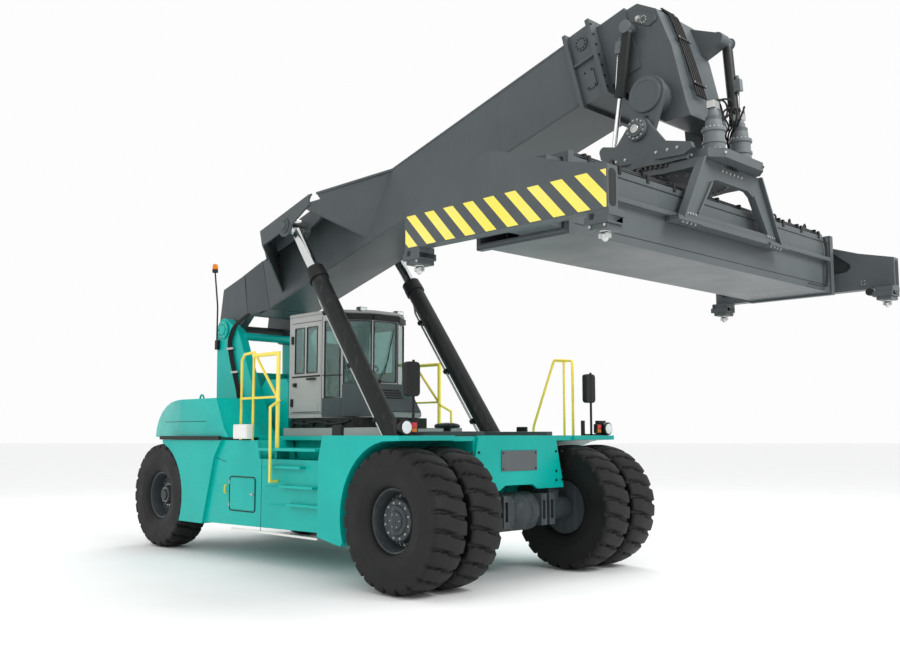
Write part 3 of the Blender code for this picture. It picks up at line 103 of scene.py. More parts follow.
def studio_floor():
    """Smooth painted plaster: very pale, matt, with a faint cloudiness a metre across."""
    made, tree, shader = new_material("painted_plaster_floor", "#FAFAFA", 0.75)
    place = add_node(tree, "ShaderNodeTexCoord")
    cloud = add_node(tree, "ShaderNodeTexNoise", {"Scale": 0.8, "Detail": 3.0},
                     {"Vector": place.outputs["Object"]})
    tone = add_node(tree, "ShaderNodeValToRGB", links={"Fac": cloud.outputs["Fac"]})
    tone.color_ramp.elements[0].color = linear("#F1F2F2")
    tone.color_ramp.elements[1].color = linear("#F8F8F8")
    tree.links.new(tone.outputs["Color"], shader.inputs["Base Color"])
    return made


floor_mesh = bpy.data.meshes.new("floor")
floor_mesh.from_pydata([(-500, -500, 0), (500, -500, 0), (500, 500, 0), (-500, 500, 0)], [], [(0, 1, 2, 3)])
floor_mesh.materials.append(studio_floor())
studio_ground = bpy.data.objects.new("studio_ground", floor_mesh)
bpy.context.scene.collection.objects.link(studio_ground)

world = bpy.data.worlds.new("soft_sky")
bpy.context.scene.world = world
bpy.context.scene.view_settings.view_transform = "Standard"
world.use_nodes = True
world.node_tree.nodes["Background"].inputs["Color"].default_value = linear("#FDFDFD")
world.node_tree.nodes["Background"].inputs["Strength"].default_value = 1.0


def soft_lamp(name, place, target, size, power):
    data = bpy.data.lights.new(name, "AREA")
    data.size = size
    data.energy = power
    lamp = bpy.data.objects.new(name, data)
    lamp.location = TO_ROW @ Vector(place)
    lamp.rotation_euler = (TO_ROW @ Vector(target) - lamp.location).to_track_quat("-Z", "Y").to_euler()
    bpy.context.scene.collection.objects.link(lamp)


soft_lamp("key_lamp", (12.0, 1.0, 13.0), (-1.0, 0.0, 2.5), 6.0, 1700.0)
soft_lamp("side_lamp", (2.0, -15.0, 8.0), (-2.0, 0.0, 2.5), 7.0, 250.0)
soft_lamp("rim_lamp", (-12.0, 7.0, 12.0), (-2.0, 0.0, 3.0), 6.0, 500.0)

lens = bpy.data.cameras.new("corner_camera")
lens.sensor_width = 36.0
lens.lens = CAMERA_LENS
lens.shift_y = CAMERA_SHIFT_UP
lens.clip_end = 200.0
camera = bpy.data.objects.new("corner_camera", lens)
camera.location = TO_ROW @ Vector(CAMERA_PLACE)
camera.rotation_euler = (math.pi / 2 - CAMERA_ELEVATION, 0.0, CAMERA_AZIMUTH)
bpy.context.scene.collection.objects.link(camera)
bpy.context.scene.camera = camera

# ---------------------------------------------------------------- tyres
# Cured natural-rubber industrial tyres: deep cross lugs that interlock at the crown, plain sidewalls with
# a raised ring, and a bead seated on the rim. The mould leaves a matt, faintly grainy black that greys
# with dust.
LUGS = 24
LUG_DEPTH = 0.038
TREAD_STEPS = 15           # points round the tyre for each lug
GROOVE_SHARE = 0.30        # share of the pitch that the groove takes at the shoulder
DUST_SIZE = 0.35


def rubber():
    made, tree, shader = new_material("moulded_tyre_rubber", "#0E0E0E", 0.62, Specular_IOR_Level=0.35)
    place = add_node(tree, "ShaderNodeTexCoord")
    patch = add_node(tree, "ShaderNodeTexNoise", {"Scale": 1 / DUST_SIZE, "Detail": 6.0, "Roughness": 0.65},
                     {"Vector": place.outputs["Object"]})
    tone = add_node(tree, "ShaderNodeValToRGB", links={"Fac": patch.outputs["Fac"]})
    tone.color_ramp.elements[0].position = 0.35
    tone.color_ramp.elements[0].color = linear("#0B0B0B")
    tone.color_ramp.elements[1].position = 0.75
    tone.color_ramp.elements[1].color = linear("#181817")
    grain = add_node(tree, "ShaderNodeTexNoise", {"Scale": 1 / 0.006, "Detail": 3.0},
                     {"Vector": place.outputs["Object"]})
    relief = add_node(tree, "ShaderNodeBump", {"Strength": 0.25, "Distance": 0.002},
                      {"Height": grain.outputs["Fac"]})
    shine = add_node(tree, "ShaderNodeMapRange", {"From Min": 0.3, "From Max": 0.7, "To Min": 0.50,
                                                  "To Max": 0.75},
                     {"Value": patch.outputs["Fac"]})
    tree.links.new(tone.outputs["Color"], shader.inputs["Base Color"])
    tree.links.new(shine.outputs["Result"], shader.inputs["Roughness"])
    tree.links.new(relief.outputs["Normal"], shader.inputs["Normal"])
    return made


def groove_depth(turn, across):
    """The tread's depth at a share of the pitch round the tyre and a place across it, from -1 to 1."""
    deepest = 0.0
    for side in (-1, 1):
        reach = across * side       # 1 at the shoulder where this groove opens, -1 at the other
        if reach < -0.22:
            continue
        centre = 0.25 * side + 0.30 * side * (1 - reach) ** 1.5 * 0.6
        away = abs((turn - centre + 0.5) % 1.0 - 0.5)
        half = GROOVE_SHARE * (0.24 + 0.26 * max(reach, 0.0) ** 0.7)
        wall = max(0.0, min(1.0, (half - away) / 0.045))
        close = max(0.0, min(1.0, (reach + 0.22) / 0.12))
        deepest = max(deepest, wall * close)
    return deepest


def finished_piece(name, corners, faces, finish, body, slot=None, bevel=0.0, replaces=(), smooth=35):
    """A shown piece in truck axes, riding on a body: its mesh, its material and the working parts it hides; slot
    is not used.
    """
    mesh = bpy.data.meshes.new(name)
    mesh.from_pydata([tuple(c) for c in corners], [], faces)
    tidy = bmesh.new()
    tidy.from_mesh(mesh)
    bmesh.ops.recalc_face_normals(tidy, faces=tidy.faces)
    tidy.to_mesh(mesh)
    tidy.free()
    mesh.transform(TO_ROW)
    mesh.materials.append(finish)
    mesh.shade_smooth()
    mesh.set_sharp_from_angle(angle=math.radians(smooth))
    made = bpy.data.objects.new(name, mesh)
    bpy.context.scene.collection.objects.link(made)
    if bevel:
        soften = made.modifiers.new("soft_edges", "BEVEL")
        soften.width = bevel
        soften.segments = 2
        soften.limit_method = "ANGLE"
        soften.angle_limit = math.radians(smooth)
        soften.harden_normals = True
    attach(made, body)
    if replaces:
        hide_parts(*replaces)
    return made


def tread_ring(middle, width):
    """Corners and faces of a lugged tyre about the wheel's axis, from bead to bead."""
    radius = TYRE_RADIUS
    half = width / 2
    flank = [(-0.17, 0.372), (-0.215, 0.395), (-0.232, 0.43), (-0.243, 0.47), (-0.243, 0.485),
             (-0.250, 0.50),
             (-0.2505, 0.56), (-0.2505, 0.63), (-0.248, 0.68), (-half + 0.004, 0.715)]
    crown = [(across,
              radius - 0.034 * abs(across / half) ** 2.6 - (0.02 if abs(across) > half - 0.012 else 0.0))
             for across in [(-1 + 2 * i / 26) * (half - 0.004) for i in range(27)]]
    shoulder = [(-half + 0.001, 0.745), (-half + 0.002, 0.775)]
    profile = flank + shoulder + crown + [(-a, r) for a, r in reversed(shoulder)] + [(-a, r) for a,
                                                                                     r in reversed(flank)]
    around = LUGS * TREAD_STEPS
    corners, faces = [], []
    for i in range(around):
        angle = 2 * math.pi * i / around
        turn = (i / TREAD_STEPS) % 1.0
        for across, out in profile:
            share = max(0.0, min(1.0, (out - 0.735) / 0.05))
            out -= LUG_DEPTH * share * groove_depth(turn, max(-1.0, min(1.0, across / half)))
            corners.append(Vector((out * math.cos(angle), across, out * math.sin(angle))) + middle)
    row = len(profile)
    for i in range(around):
        j = (i + 1) % around
        for k in range(row - 1):
            faces.append((i * row + k, i * row + k + 1, j * row + k + 1, j * row + k))
        faces.append((i * row + row - 1, i * row, j * row, j * row + row - 1))
    return corners, faces


tyre_rubber = rubber()
WHEEL_BODIES = {"front_outer_tyre": "front_wheels", "front_inner_tyre": "front_wheels",
                "rear_tyre": "rear_wheel"}
for side in ("right", "left"):
    for kind, body in WHEEL_BODIES.items():
        low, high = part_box(f"{kind}_{side}")
        hub = (low + high) / 2 - TO_ROW.translation
        ring, ring_faces = tread_ring(hub, high.y - low.y)
        finished_piece(f"{kind}_{side}_lugged", ring, ring_faces, tyre_rubber, f"{body}_{side}",
                       "tyre_rubber", replaces=(f"{kind}_{side}",), smooth=40)

# ---------------------------------------------------------------- rims and hubs
# Pressed steel rims with a lock ring at the outer edge. The front pair turn on a planetary hub that is
# held by a ring of studs; the rear disc is bolted through its middle. All are sprayed with a satin wheel
# grey.


def turned(profile, start, direction, sides=48):
    """Corners and faces of a profile of (along, radius) points turned about an axis."""
    axis = Vector(direction).normalized()
    across = Vector((0, 0, 1)) if abs(axis.z) < 0.9 else Vector((1, 0, 0))
    across = (across - axis * across.dot(axis)).normalized()
    other = axis.cross(across)
    corners, faces = [], []
    for along, radius in profile:
        for i in range(sides):
            angle = 2 * math.pi * i / sides
            spoke = across * math.cos(angle) + other * math.sin(angle)
            corners.append(Vector(start) + axis * along + spoke * radius)
    for row in range(len(profile) - 1):
        for i in range(sides):
            j = (i + 1) % sides
            faces.append((row * sides + i, row * sides + j, (row + 1) * sides + j, (row + 1) * sides + i))
    last = (len(profile) - 1) * sides
    if profile[0][1] > 0:
        faces.append(tuple(range(sides)))
    if profile[-1][1] > 0:
        faces.append(tuple(range(last + sides - 1, last - 1, -1)))
    return corners, faces


def together(*shapes):
    """Several lots of corners and faces as one."""
    corners, faces = [], []
    for more_corners, more_faces in shapes:
        start = len(corners)
        corners += list(more_corners)
        faces += [tuple(start + i for i in face) for face in more_faces]
    return corners, faces


def bolt(place, direction, size):
    """A hexagon head of that size across its corners, on a washer, pointing along direction."""
    washer = turned([(0.0, size * 0.62), (size * 0.10, size * 0.62)], place, direction, 12)
    head = turned([(0.0, size * 0.50), (size * 0.42, size * 0.50), (size * 0.50, size * 0.40)], place,
                  direction, 6)
    return together(washer, head)


def circle_of(count, centre, direction, radius, make):
    """Places what make(point) returns at equal steps round a circle."""
    axis = Vector(direction).normalized()
    across = Vector((0, 0, 1)) if abs(axis.z) < 0.9 else Vector((1, 0, 0))
    other = axis.cross(across)
    shapes = []
    for i in range(count):
        angle = 2 * math.pi * (i + 0.5) / count
        shapes.append(make(Vector(centre) + (across * math.cos(angle) + other * math.sin(angle)) * radius))
    return together(*shapes)


def sprayed(name, fresh, faded, roughness=0.36, dust="#8C8A84", dust_share=0.10, coat=0.0):
    """Sprayed two-pack paint over primed steel: clouds of fading, rain streaks and a fine orange-peel skin."""
    made, tree, shader = new_material(name, fresh, roughness, Coat_Weight=coat, Coat_Roughness=0.12)
    place = add_node(tree, "ShaderNodeTexCoord")
    cloud = add_node(tree, "ShaderNodeTexNoise", {"Scale": 1 / 0.9, "Detail": 5.0, "Roughness": 0.6},
                     {"Vector": place.outputs["Object"]})
    fading = add_node(tree, "ShaderNodeMapRange", {"From Min": 0.42, "From Max": 0.75},
                      {"Value": cloud.outputs["Fac"]})
    body_tone = add_node(tree, "ShaderNodeMix", {"data_type": "RGBA", 6: linear(fresh), 7: linear(faded)},
                         {0: fading.outputs["Result"]})
    tall = add_node(tree, "ShaderNodeMapping", {"Scale": (1 / 0.06, 1 / 0.06, 1 / 0.9)},
                    {"Vector": place.outputs["Object"]})
    streak = add_node(tree, "ShaderNodeTexNoise", {"Scale": 1.0, "Detail": 4.0},
                      {"Vector": tall.outputs["Vector"]})
    runs = add_node(tree, "ShaderNodeMapRange", {"From Min": 0.56, "From Max": 0.80, "To Max": dust_share},
                    {"Value": streak.outputs["Fac"]})
    dirty = add_node(tree, "ShaderNodeMix", {"data_type": "RGBA", 7: linear(dust)},
                     {0: runs.outputs["Result"], 6: body_tone.outputs[2]})
    skin = add_node(tree, "ShaderNodeTexNoise", {"Scale": 1 / 0.010, "Detail": 2.0},
                    {"Vector": place.outputs["Object"]})
    peel = add_node(tree, "ShaderNodeBump", {"Strength": 0.04, "Distance": 0.002},
                    {"Height": skin.outputs["Fac"]})
    shine = add_node(tree, "ShaderNodeMapRange", {"From Min": 0.3, "From Max": 0.7,
                                                  "To Min": roughness - 0.06,
                     "To Max": roughness + 0.10}, {"Value": cloud.outputs["Fac"]})
    tree.links.new(dirty.outputs[2], shader.inputs["Base Color"])
    tree.links.new(shine.outputs["Result"], shader.inputs["Roughness"])
    tree.links.new(peel.outputs["Normal"], shader.inputs["Normal"])
    return made


def bare_metal(name, colour, roughness, grain):
    """Machined or plated steel with fine turning marks grain metres apart, drawn coarse enough to show."""
    made, tree, shader = new_material(name, colour, roughness, 1.0)
    place = add_node(tree, "ShaderNodeTexCoord")
    marks = add_node(tree, "ShaderNodeTexNoise", {"Scale": 1 / grain, "Detail": 4.0},
                     {"Vector": place.outputs["Object"]})
    shine = add_node(tree, "ShaderNodeMapRange", {"To Min": roughness * 0.7, "To Max": roughness * 1.5},
                     {"Value": marks.outputs["Fac"]})
    scratch = add_node(tree, "ShaderNodeBump", {"Strength": 0.08, "Distance": 0.001},
                       {"Height": marks.outputs["Fac"]})
    tree.links.new(shine.outputs["Result"], shader.inputs["Roughness"])
    tree.links.new(scratch.outputs["Normal"], shader.inputs["Normal"])
    return made


wheel_grey = sprayed("satin_wheel_grey_enamel", "#353C3F", "#3F4649", 0.42, dust_share=0.25)
plated_steel = bare_metal("zinc_plated_steel", "#B9BBB8", 0.30, 0.02)
# This satin black is the colour of the black-painted parts. It is also painted shade where flat black plates stand
# for holes, slots, louvre gaps and openings.
black_enamel_and_shade = sprayed("satin_black_enamel_and_painted_shade", "#1A1B1C", "#242526", 0.45)

for side, out in (("right", -1), ("left", 1)):
    low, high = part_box(f"front_rim_{side}")
    axle_end = Vector((0.0, 0.0, TYRE_RADIUS))
    edge = max(abs(low.y), abs(high.y)) - 0.02
    base = (low.y if out > 0 else high.y) * out
    lock_ring = [(base, 0.30), (base, 0.36), (edge - 0.10, 0.364), (edge - 0.012, 0.364), (edge, 0.384),
                 (edge + 0.012, 0.388), (edge + 0.018, 0.380), (edge + 0.010, 0.352), (edge - 0.012, 0.345),
                 (edge - 0.05, 0.335), (edge - 0.15, 0.325), (edge - 0.18, 0.318), (edge - 0.185, 0.262),
                 (edge - 0.11, 0.252), (edge - 0.06, 0.246), (edge - 0.045, 0.236), (edge - 0.04, 0.180),
                 (edge - 0.028, 0.172), (edge - 0.022, 0.165), (edge - 0.022, 0.118), (edge - 0.010, 0.112),
                 (edge - 0.006, 0.105), (edge - 0.006, 0.0)]
    rim = turned(lock_ring, axle_end, (0, out, 0), 72)
    finished_piece(f"front_wheel_{side}", *rim, wheel_grey, f"front_wheels_{side}", "rim_paint",
                   replaces=(f"front_rim_{side}",), smooth=28)
    studs = circle_of(24, axle_end + Vector((0, out * (edge - 0.185), 0)), (0, out, 0), 0.290,
                      lambda p: together(bolt(p, (0, out, 0), 0.036),
                                         turned([(0, 0.010), (0.050, 0.010), (0.054, 0.006)], p,
                                                (0, out, 0), 8)))
    hub_bolts = circle_of(12, axle_end + Vector((0, out * (edge - 0.042), 0)), (0, out, 0), 0.205,
                          lambda p: bolt(p, (0, out, 0), 0.022))
    cap_bolts = circle_of(6, axle_end + Vector((0, out * (edge - 0.008), 0)), (0, out, 0), 0.080,
                          lambda p: bolt(p, (0, out, 0), 0.016))
    finished_piece(f"front_wheel_studs_{side}", *together(studs, hub_bolts, cap_bolts), plated_steel,
                   f"front_wheels_{side}", "bright_steel", smooth=30)

    low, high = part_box(f"rear_rim_{side}")
    axle_end = Vector(((low.x + high.x) / 2 - AXLE_X, 0.0, TYRE_RADIUS))
    edge = max(abs(low.y), abs(high.y)) - 0.03
    dish = edge - 0.13
    rear_profile = [(edge - 0.34, 0.31), (edge - 0.34, 0.36), (edge - 0.012, 0.364), (edge, 0.384),
                    (edge + 0.012, 0.388), (edge + 0.018, 0.380), (edge + 0.008, 0.350),
                    (edge - 0.03, 0.335),
                    (dish - 0.02, 0.318), (dish - 0.035, 0.300), (dish - 0.02, 0.286), (dish, 0.280),
                    (dish + 0.008, 0.215), (dish, 0.190), (dish, 0.150), (dish + 0.07, 0.140),
                    (dish + 0.085, 0.130),
                    (dish + 0.085, 0.090), (dish + 0.115, 0.082), (dish + 0.120, 0.0)]
    rim = turned(rear_profile, axle_end, (0, out, 0), 72)
    finished_piece(f"rear_wheel_{side}", *rim, wheel_grey, f"rear_wheel_{side}", "rim_paint",
                   replaces=(f"rear_rim_{side}",), smooth=28)
    face = axle_end + Vector((0, out * (dish + 0.004), 0))
    nuts = together(circle_of(16, face, (0, out, 0), 0.172, lambda p: bolt(p, (0, out, 0), 0.034)),
                    circle_of(16, face + Vector((0, out * 0.080, 0)), (0, out, 0), 0.110,
                              lambda p: bolt(p, (0, out, 0), 0.018)))
    finished_piece(f"rear_wheel_nuts_{side}", *nuts, plated_steel, f"rear_wheel_{side}", "bright_steel",
                   smooth=30)
    # Flat black discs on the rim's face stand for its holes: painted shade, not paint.
    rim_hole_shade = circle_of(16, face + Vector((0, out * 0.003, 0)), (0, out, 0), 0.248,
                      lambda p: turned([(0, 0.020), (0.003, 0.020)], p, (0, out, 0), 14))
    finished_piece(f"rear_wheel_holes_{side}", *rim_hole_shade, black_enamel_and_shade, f"rear_wheel_{side}", "black_paint")

# ---------------------------------------------------------------- paints on the working solids
# Every flame-cut and welded plate keeps its working shape and gets its real finish: turquoise on the
# truck, dark grey on the boom and spreader, warm light grey on the cab, and ground edges rounded by a few
# millimetres.
EDGE_ROUND = 0.006
turquoise = sprayed("turquoise_gloss_enamel", "#00B3A8", "#00A8A0", 0.30, dust="#2F958E", dust_share=0.05)
boom_grey = sprayed("basalt_grey_enamel", "#4A5052", "#52585A", 0.36, dust="#6B7072", dust_share=0.10)
cab_grey = sprayed("warm_grey_enamel", "#A3A4A3", "#ACADAB", 0.36)
rail_yellow = sprayed("pale_yellow_enamel", "#F2DC4E", "#F5E378", 0.34, dust="#B7A96A")
hard_chrome = bare_metal("hard_chrome_plate", "#D6D8D8", 0.12, 0.03)


def woven_cloth():
    """Woven seat cloth: threads 3 mm apart, drawn as a checker of bumps, with a soft nap."""
    made, tree, shader = new_material("woven_seat_cloth", "#1B1C1E", 0.9, Sheen_Weight=0.3)
    place = add_node(tree, "ShaderNodeTexCoord")
    threads = add_node(tree, "ShaderNodeTexChecker", {"Scale": 1 / 0.006, "Color1": linear("#232427"),
                       "Color2": linear("#131416")}, {"Vector": place.outputs["Object"]})
    relief = add_node(tree, "ShaderNodeBump", {"Strength": 0.4, "Distance": 0.001},
                      {"Height": threads.outputs["Fac"]})
    tree.links.new(threads.outputs["Color"], shader.inputs["Base Color"])
    tree.links.new(relief.outputs["Normal"], shader.inputs["Normal"])
    return made


def moulded_lens(name, colour):
    """Moulded acrylic: clear colour with a ribbed inside that breaks up the light."""
    made, tree, shader = new_material(name, colour, 0.12, IOR=1.49, Transmission_Weight=0.35)
    place = add_node(tree, "ShaderNodeTexCoord")
    ribs = add_node(tree, "ShaderNodeTexWave", {"Scale": 1 / 0.05, "bands_direction": "Z"},
                    {"Vector": place.outputs["Object"]})
    relief = add_node(tree, "ShaderNodeBump", {"Strength": 0.3, "Distance": 0.002},
                      {"Height": ribs.outputs["Fac"]})
    tree.links.new(relief.outputs["Normal"], shader.inputs["Normal"])
    return made


amber_acrylic = moulded_lens("amber_acrylic", "#F08A10")
FINISHES = {"teal_paint": turquoise, "grey_paint": boom_grey, "cab_paint": cab_grey,
            "rim_paint": wheel_grey,
            "black_paint": black_enamel_and_shade, "yellow_paint": rail_yellow, "bright_steel": hard_chrome,
            "tyre_rubber": tyre_rubber, "seat_fabric": woven_cloth(), "amber_lens": amber_acrylic}
for part in frame["record"]["subparts"]:
    node = frame["nodes"][part["node"]]
    node.data.materials.clear()
    node.data.materials.append(FINISHES[part["material_slot"]])
    weld = node.modifiers.new("weld", "WELD")
    weld.merge_threshold = 0.0001
    ground = node.modifiers.new("ground_edges", "BEVEL")
    ground.width = EDGE_ROUND
    ground.segments = 2
    ground.limit_method = "ANGLE"
    ground.angle_limit = math.radians(38)
    even = node.modifiers.new("even_faces", "WEIGHTED_NORMAL")
    even.keep_sharp = False

# ---------------------------------------------------------------- spreader end frames
# Welded plate frames at both ends of the spreader. Slanting yellow bands are sprayed through a stencil on
# the outside; the corner housings are thick flame-cut blocks, and the twistlocks in them are forged and
# zinc plated.


def cuboid(low, high):
    (x0, y0, z0), (x1, y1, z1) = low, high
    corners = [(x, y, z) for x in (x0, x1) for y in (y0, y1) for z in (z0, z1)]
    return corners, [(0, 1, 3, 2), (4, 6, 7, 5), (0, 4, 5, 1), (2, 3, 7, 6), (0, 2, 6, 4), (1, 5, 7, 3)]


def block(x0, x1, y0, y1, z0, z1):
    """A block whose two y limits may come in either order."""
    return cuboid((x0, min(y0, y1), z0), (x1, max(y0, y1), z1))


def plate(outline, low, high, axis="y"):
    """A flat plate from its outline in the two other axes; its thickness runs from low to high along axis."""
    place = {"y": lambda a, b, t: (a, t, b), "x": lambda a, b, t: (t, a, b), "z": lambda a, b,
             t: (a, b, t)}[axis]
    count = len(outline)
    corners = [place(a, b, low) for a, b in outline] + [place(a, b, high) for a, b in outline]
    sides = [(i, (i + 1) % count, count + (i + 1) % count, count + i) for i in range(count)]
    return corners, [tuple(range(count)), tuple(range(2 * count - 1, count - 1, -1))] + sides


def rounded(x0, x1, z0, z1, radius, steps=5):
    """Outline of a rectangle with round corners."""
    points = []
    for cx, cz, start in ((x1 - radius, z1 - radius, 0), (x0 + radius, z1 - radius, 90),
                          (x0 + radius, z0 + radius, 180), (x1 - radius, z0 + radius, 270)):
        for i in range(steps + 1):
            angle = math.radians(start + 90 * i / steps)
            points.append((cx + radius * math.cos(angle), cz + radius * math.sin(angle)))
    return points


def swept(points, radius, sides=10, smooth_by=0.0):
    """A round tube or hose along points; smooth_by rounds its bends, from 0 for mitred to 1 for a curve."""
    route = [Vector(p) for p in points]
    for _ in range(3 if smooth_by else 0):
        eased = [route[0]]
        for one, two in zip(route, route[1:]):
            eased += [one.lerp(two, 0.25 * smooth_by), one.lerp(two, 1 - 0.25 * smooth_by)]
        route = eased + [route[-1]]
    corners, faces = [], []
    side = None
    for i, point in enumerate(route):
        ahead = (route[min(i + 1, len(route) - 1)] - route[max(i - 1, 0)]).normalized()
        if side is None:
            side = ahead.orthogonal().normalized()
        side = (side - ahead * side.dot(ahead)).normalized()
        top = ahead.cross(side)
        for k in range(sides):
            angle = 2 * math.pi * k / sides
            corners.append(point + (side * math.cos(angle) + top * math.sin(angle)) * radius)
    for row in range(len(route) - 1):
        for k in range(sides):
            j = (k + 1) % sides
            faces.append((row * sides + k, row * sides + j, (row + 1) * sides + j, (row + 1) * sides + k))
    last = (len(route) - 1) * sides
    return corners, faces + [tuple(range(sides - 1, -1, -1)), tuple(range(last, last + sides))]


def truck_box(node):
    """A working solid's box in truck axes."""
    low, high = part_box(node)
    return low - TO_ROW.translation, high - TO_ROW.translation


stencil_yellow = sprayed("stencilled_yellow_enamel", "#F4DF55", "#F6E683", 0.38, dust="#B9AF78",
                         dust_share=0.15)
forged_zinc = bare_metal("zinc_plated_forging", "#C3C5C3", 0.34, 0.015)
hose_black = sprayed("ribbed_hose_rubber", "#141414", "#1E1E1E", 0.55, dust="#3C3B38")
PAINT_FILM = 0.0012
BAND_SLANT = 0.95          # how far a band leans forwards for each metre down
BAND_STEP = 0.264
BAND_WIDTH = 0.130


def clipped_band(start, lower, upper, front, rear, roof):
    """One slanting band between two heights, cut off at the frame's ends and under its roof line."""
    top = [start + BAND_WIDTH, start]
    shape = [(start, upper), (start + BAND_WIDTH, upper),
             (start + BAND_WIDTH + BAND_SLANT * (upper - lower), lower),
             (start + BAND_SLANT * (upper - lower), lower)]
    for keep, value in ((lambda p: p[0] - rear, rear), (lambda p: front - p[0], front),
                        (lambda p: roof(p), 0)):
        cut = []
        for one, two in zip(shape, shape[1:] + shape[:1]):
            a, b = keep(one), keep(two)
            if a >= 0:
                cut.append(one)
            if a * b < 0:
                share = a / (a - b)
                cut.append((one[0] + (two[0] - one[0]) * share, one[1] + (two[1] - one[1]) * share))
        shape = cut
        if len(shape) < 3:
            return None
    return shape


for side, out in (("right", -1), ("left", 1)):
    low, high = truck_box(f"telescope_{side}")
    face = out * max(abs(low.y), abs(high.y))
    front, rear = high.x, 1.36
    body = f"end_{side}"
    band_low, band_high = 3.66, 3.975
    bands = []
    for i in range(-2, 10):
        shape = clipped_band(rear + 0.02 + i * BAND_STEP, band_low, band_high, front - 0.012, rear + 0.008,
                             lambda p: 3.968 + (p[0] - 1.36) * 0.389 - p[1])
        if shape:
            bands.append(plate(shape, *sorted((face, face + out * PAINT_FILM))))
    finished_piece(f"hazard_bands_{side}", *together(*bands), stencil_yellow, body, "yellow_paint")

    housings, locks, dark, heads = [], [], [], []
    for corner_x, ahead in ((front - 0.11, 1), (1.4605, -1)):
        y = out * 2.9265
        y0, y1 = sorted((face, face - out * 0.23))
        housings.append(cuboid((corner_x - 0.135, y0, 3.535), (corner_x + 0.11, y1, 3.60)))
        housings.append(cuboid((corner_x - 0.09, y0 + 0.01, 3.49), (corner_x + 0.09, y1 - 0.01, 3.535)))
        housings.append(cuboid((corner_x - 0.10, y0 + 0.005, 3.60),
                               (corner_x + 0.115 * ahead + 0.0, y1, 3.655)))
        locks.append(turned([(0.0, 0.012), (0.018, 0.030), (0.050, 0.036), (0.058, 0.036), (0.066, 0.026),
                             (0.090, 0.026)], (corner_x, y, 3.400), (0, 0, 1), 20))
        locks.append(cuboid((corner_x - 0.048, y - 0.026, 3.428), (corner_x + 0.048, y + 0.026, 3.470)))
        locks.append(turned([(0.0, 0.048), (0.012, 0.050), (0.020, 0.042)], (corner_x, y, 3.476), (0, 0, 1),
                            20))
        for sx in (-1, 1):
            heads.append(bolt((corner_x + sx * 0.075, face, 3.515), (0, out, 0), 0.022))
            heads.append(bolt((corner_x + sx * 0.07, face - out * 0.05, 3.535), (0, 0, -1), 0.024))
    end_x = front
    # The black oval on the housing's end and the small black squares on its side stand for openings: painted
    # shade.
    oval = [(y * 0.052 + out * 2.965, z) for y, z in
            [(math.cos(math.radians(a)),
              3.83 + 0.115 * (1 if a <= 180 else -1) + 0.045 * math.sin(math.radians(a)))
             for a in [18 * i for i in range(20)]]]
    dark.append(plate(oval, end_x - 0.004, end_x + 0.0025, "x"))
    housings.append(plate([(y, z) for y, z in rounded(min(face, face - out * 0.14),
                                                      max(face, face - out * 0.14), 3.60,
                                                      4.02, 0.012)], end_x - 0.002, end_x + 0.0015, "x"))
    dark.append(cuboid((front - 0.19, face - 0.002, 3.575), (front - 0.145, face + 0.002, 3.625)))
    dark.append(cuboid((1.395, face - 0.002, 3.575), (1.435, face + 0.002, 3.625)))
    finished_piece(f"corner_housings_{side}", *together(*housings), boom_grey, body, "grey_paint",
                   bevel=0.005)
    finished_piece(f"twistlock_heads_{side}", *together(*locks), forged_zinc, body, "bright_steel",
                   bevel=0.003)
    finished_piece(f"housing_opening_shade_{side}", *together(*dark), black_enamel_and_shade, body, "black_paint")
    inner = face - out * 0.142
    for x, z in ((3.42, 3.76), (3.46, 3.76), (3.42, 3.72), (3.46, 3.72), (2.4, 3.76), (2.36, 3.72)):
        heads.append(bolt((x, inner, z), (0, -out, 0), 0.016))
    finished_piece(f"housing_bolts_{side}", *together(*heads), plated_steel, body, "bright_steel")
    locator = together(swept([(3.55, inner - out * 0.02, 3.60), (3.55, inner - out * 0.10, 3.60)], 0.045,
                             16),
                       swept([(1.50, inner, 3.80), (1.50, inner - out * 0.10, 3.80)], 0.04, 16))
    finished_piece(f"landing_sensors_{side}", *locator, black_enamel_and_shade, body, "black_paint")

# ---------------------------------------------------------------- spreader main beam
# A welded box with a flat rail down each side, on which the hanger's feet slide. Steel pipes run along
# its top edges in pairs of clamps, and black hoses loop between the valves on its roof.
low, high = truck_box("spreader_beam")
BEAM_FACES = (2.05, 3.13)
beam_top = 4.32
pipes, clamps, seams, beam_hoses = [], [], [], []
for x, out in ((BEAM_FACES[0], -1), (BEAM_FACES[1], 1)):
    for lift, inset in ((0.035, 0.05), (0.035, 0.09), (0.062, 0.07)):
        pipes.append(swept([(x - out * inset, -2.55, beam_top + lift),
                            (x - out * inset, 2.55, beam_top + lift)],
                           0.009, 8))
    for i in range(11):
        y = -2.35 + 0.47 * i
        clamps.append(cuboid((x - out * 0.07 - 0.035, y - 0.018, beam_top - 0.002),
                             (x - out * 0.07 + 0.035, y + 0.018, beam_top + 0.078)))
        if abs(y) > 0.75:
            clamps.append(cuboid((x - 0.012, y - 0.02, beam_top - 0.035),
                                 (x + 0.012, y + 0.02, beam_top + 0.05)))
    seams.append(cuboid((x - 0.003, -2.60, 4.245), (x + 0.003, 2.60, 4.257)))
    seams.append(cuboid((x - 0.0025, -2.60, 3.70), (x + 0.0025, 2.60, 3.706)))
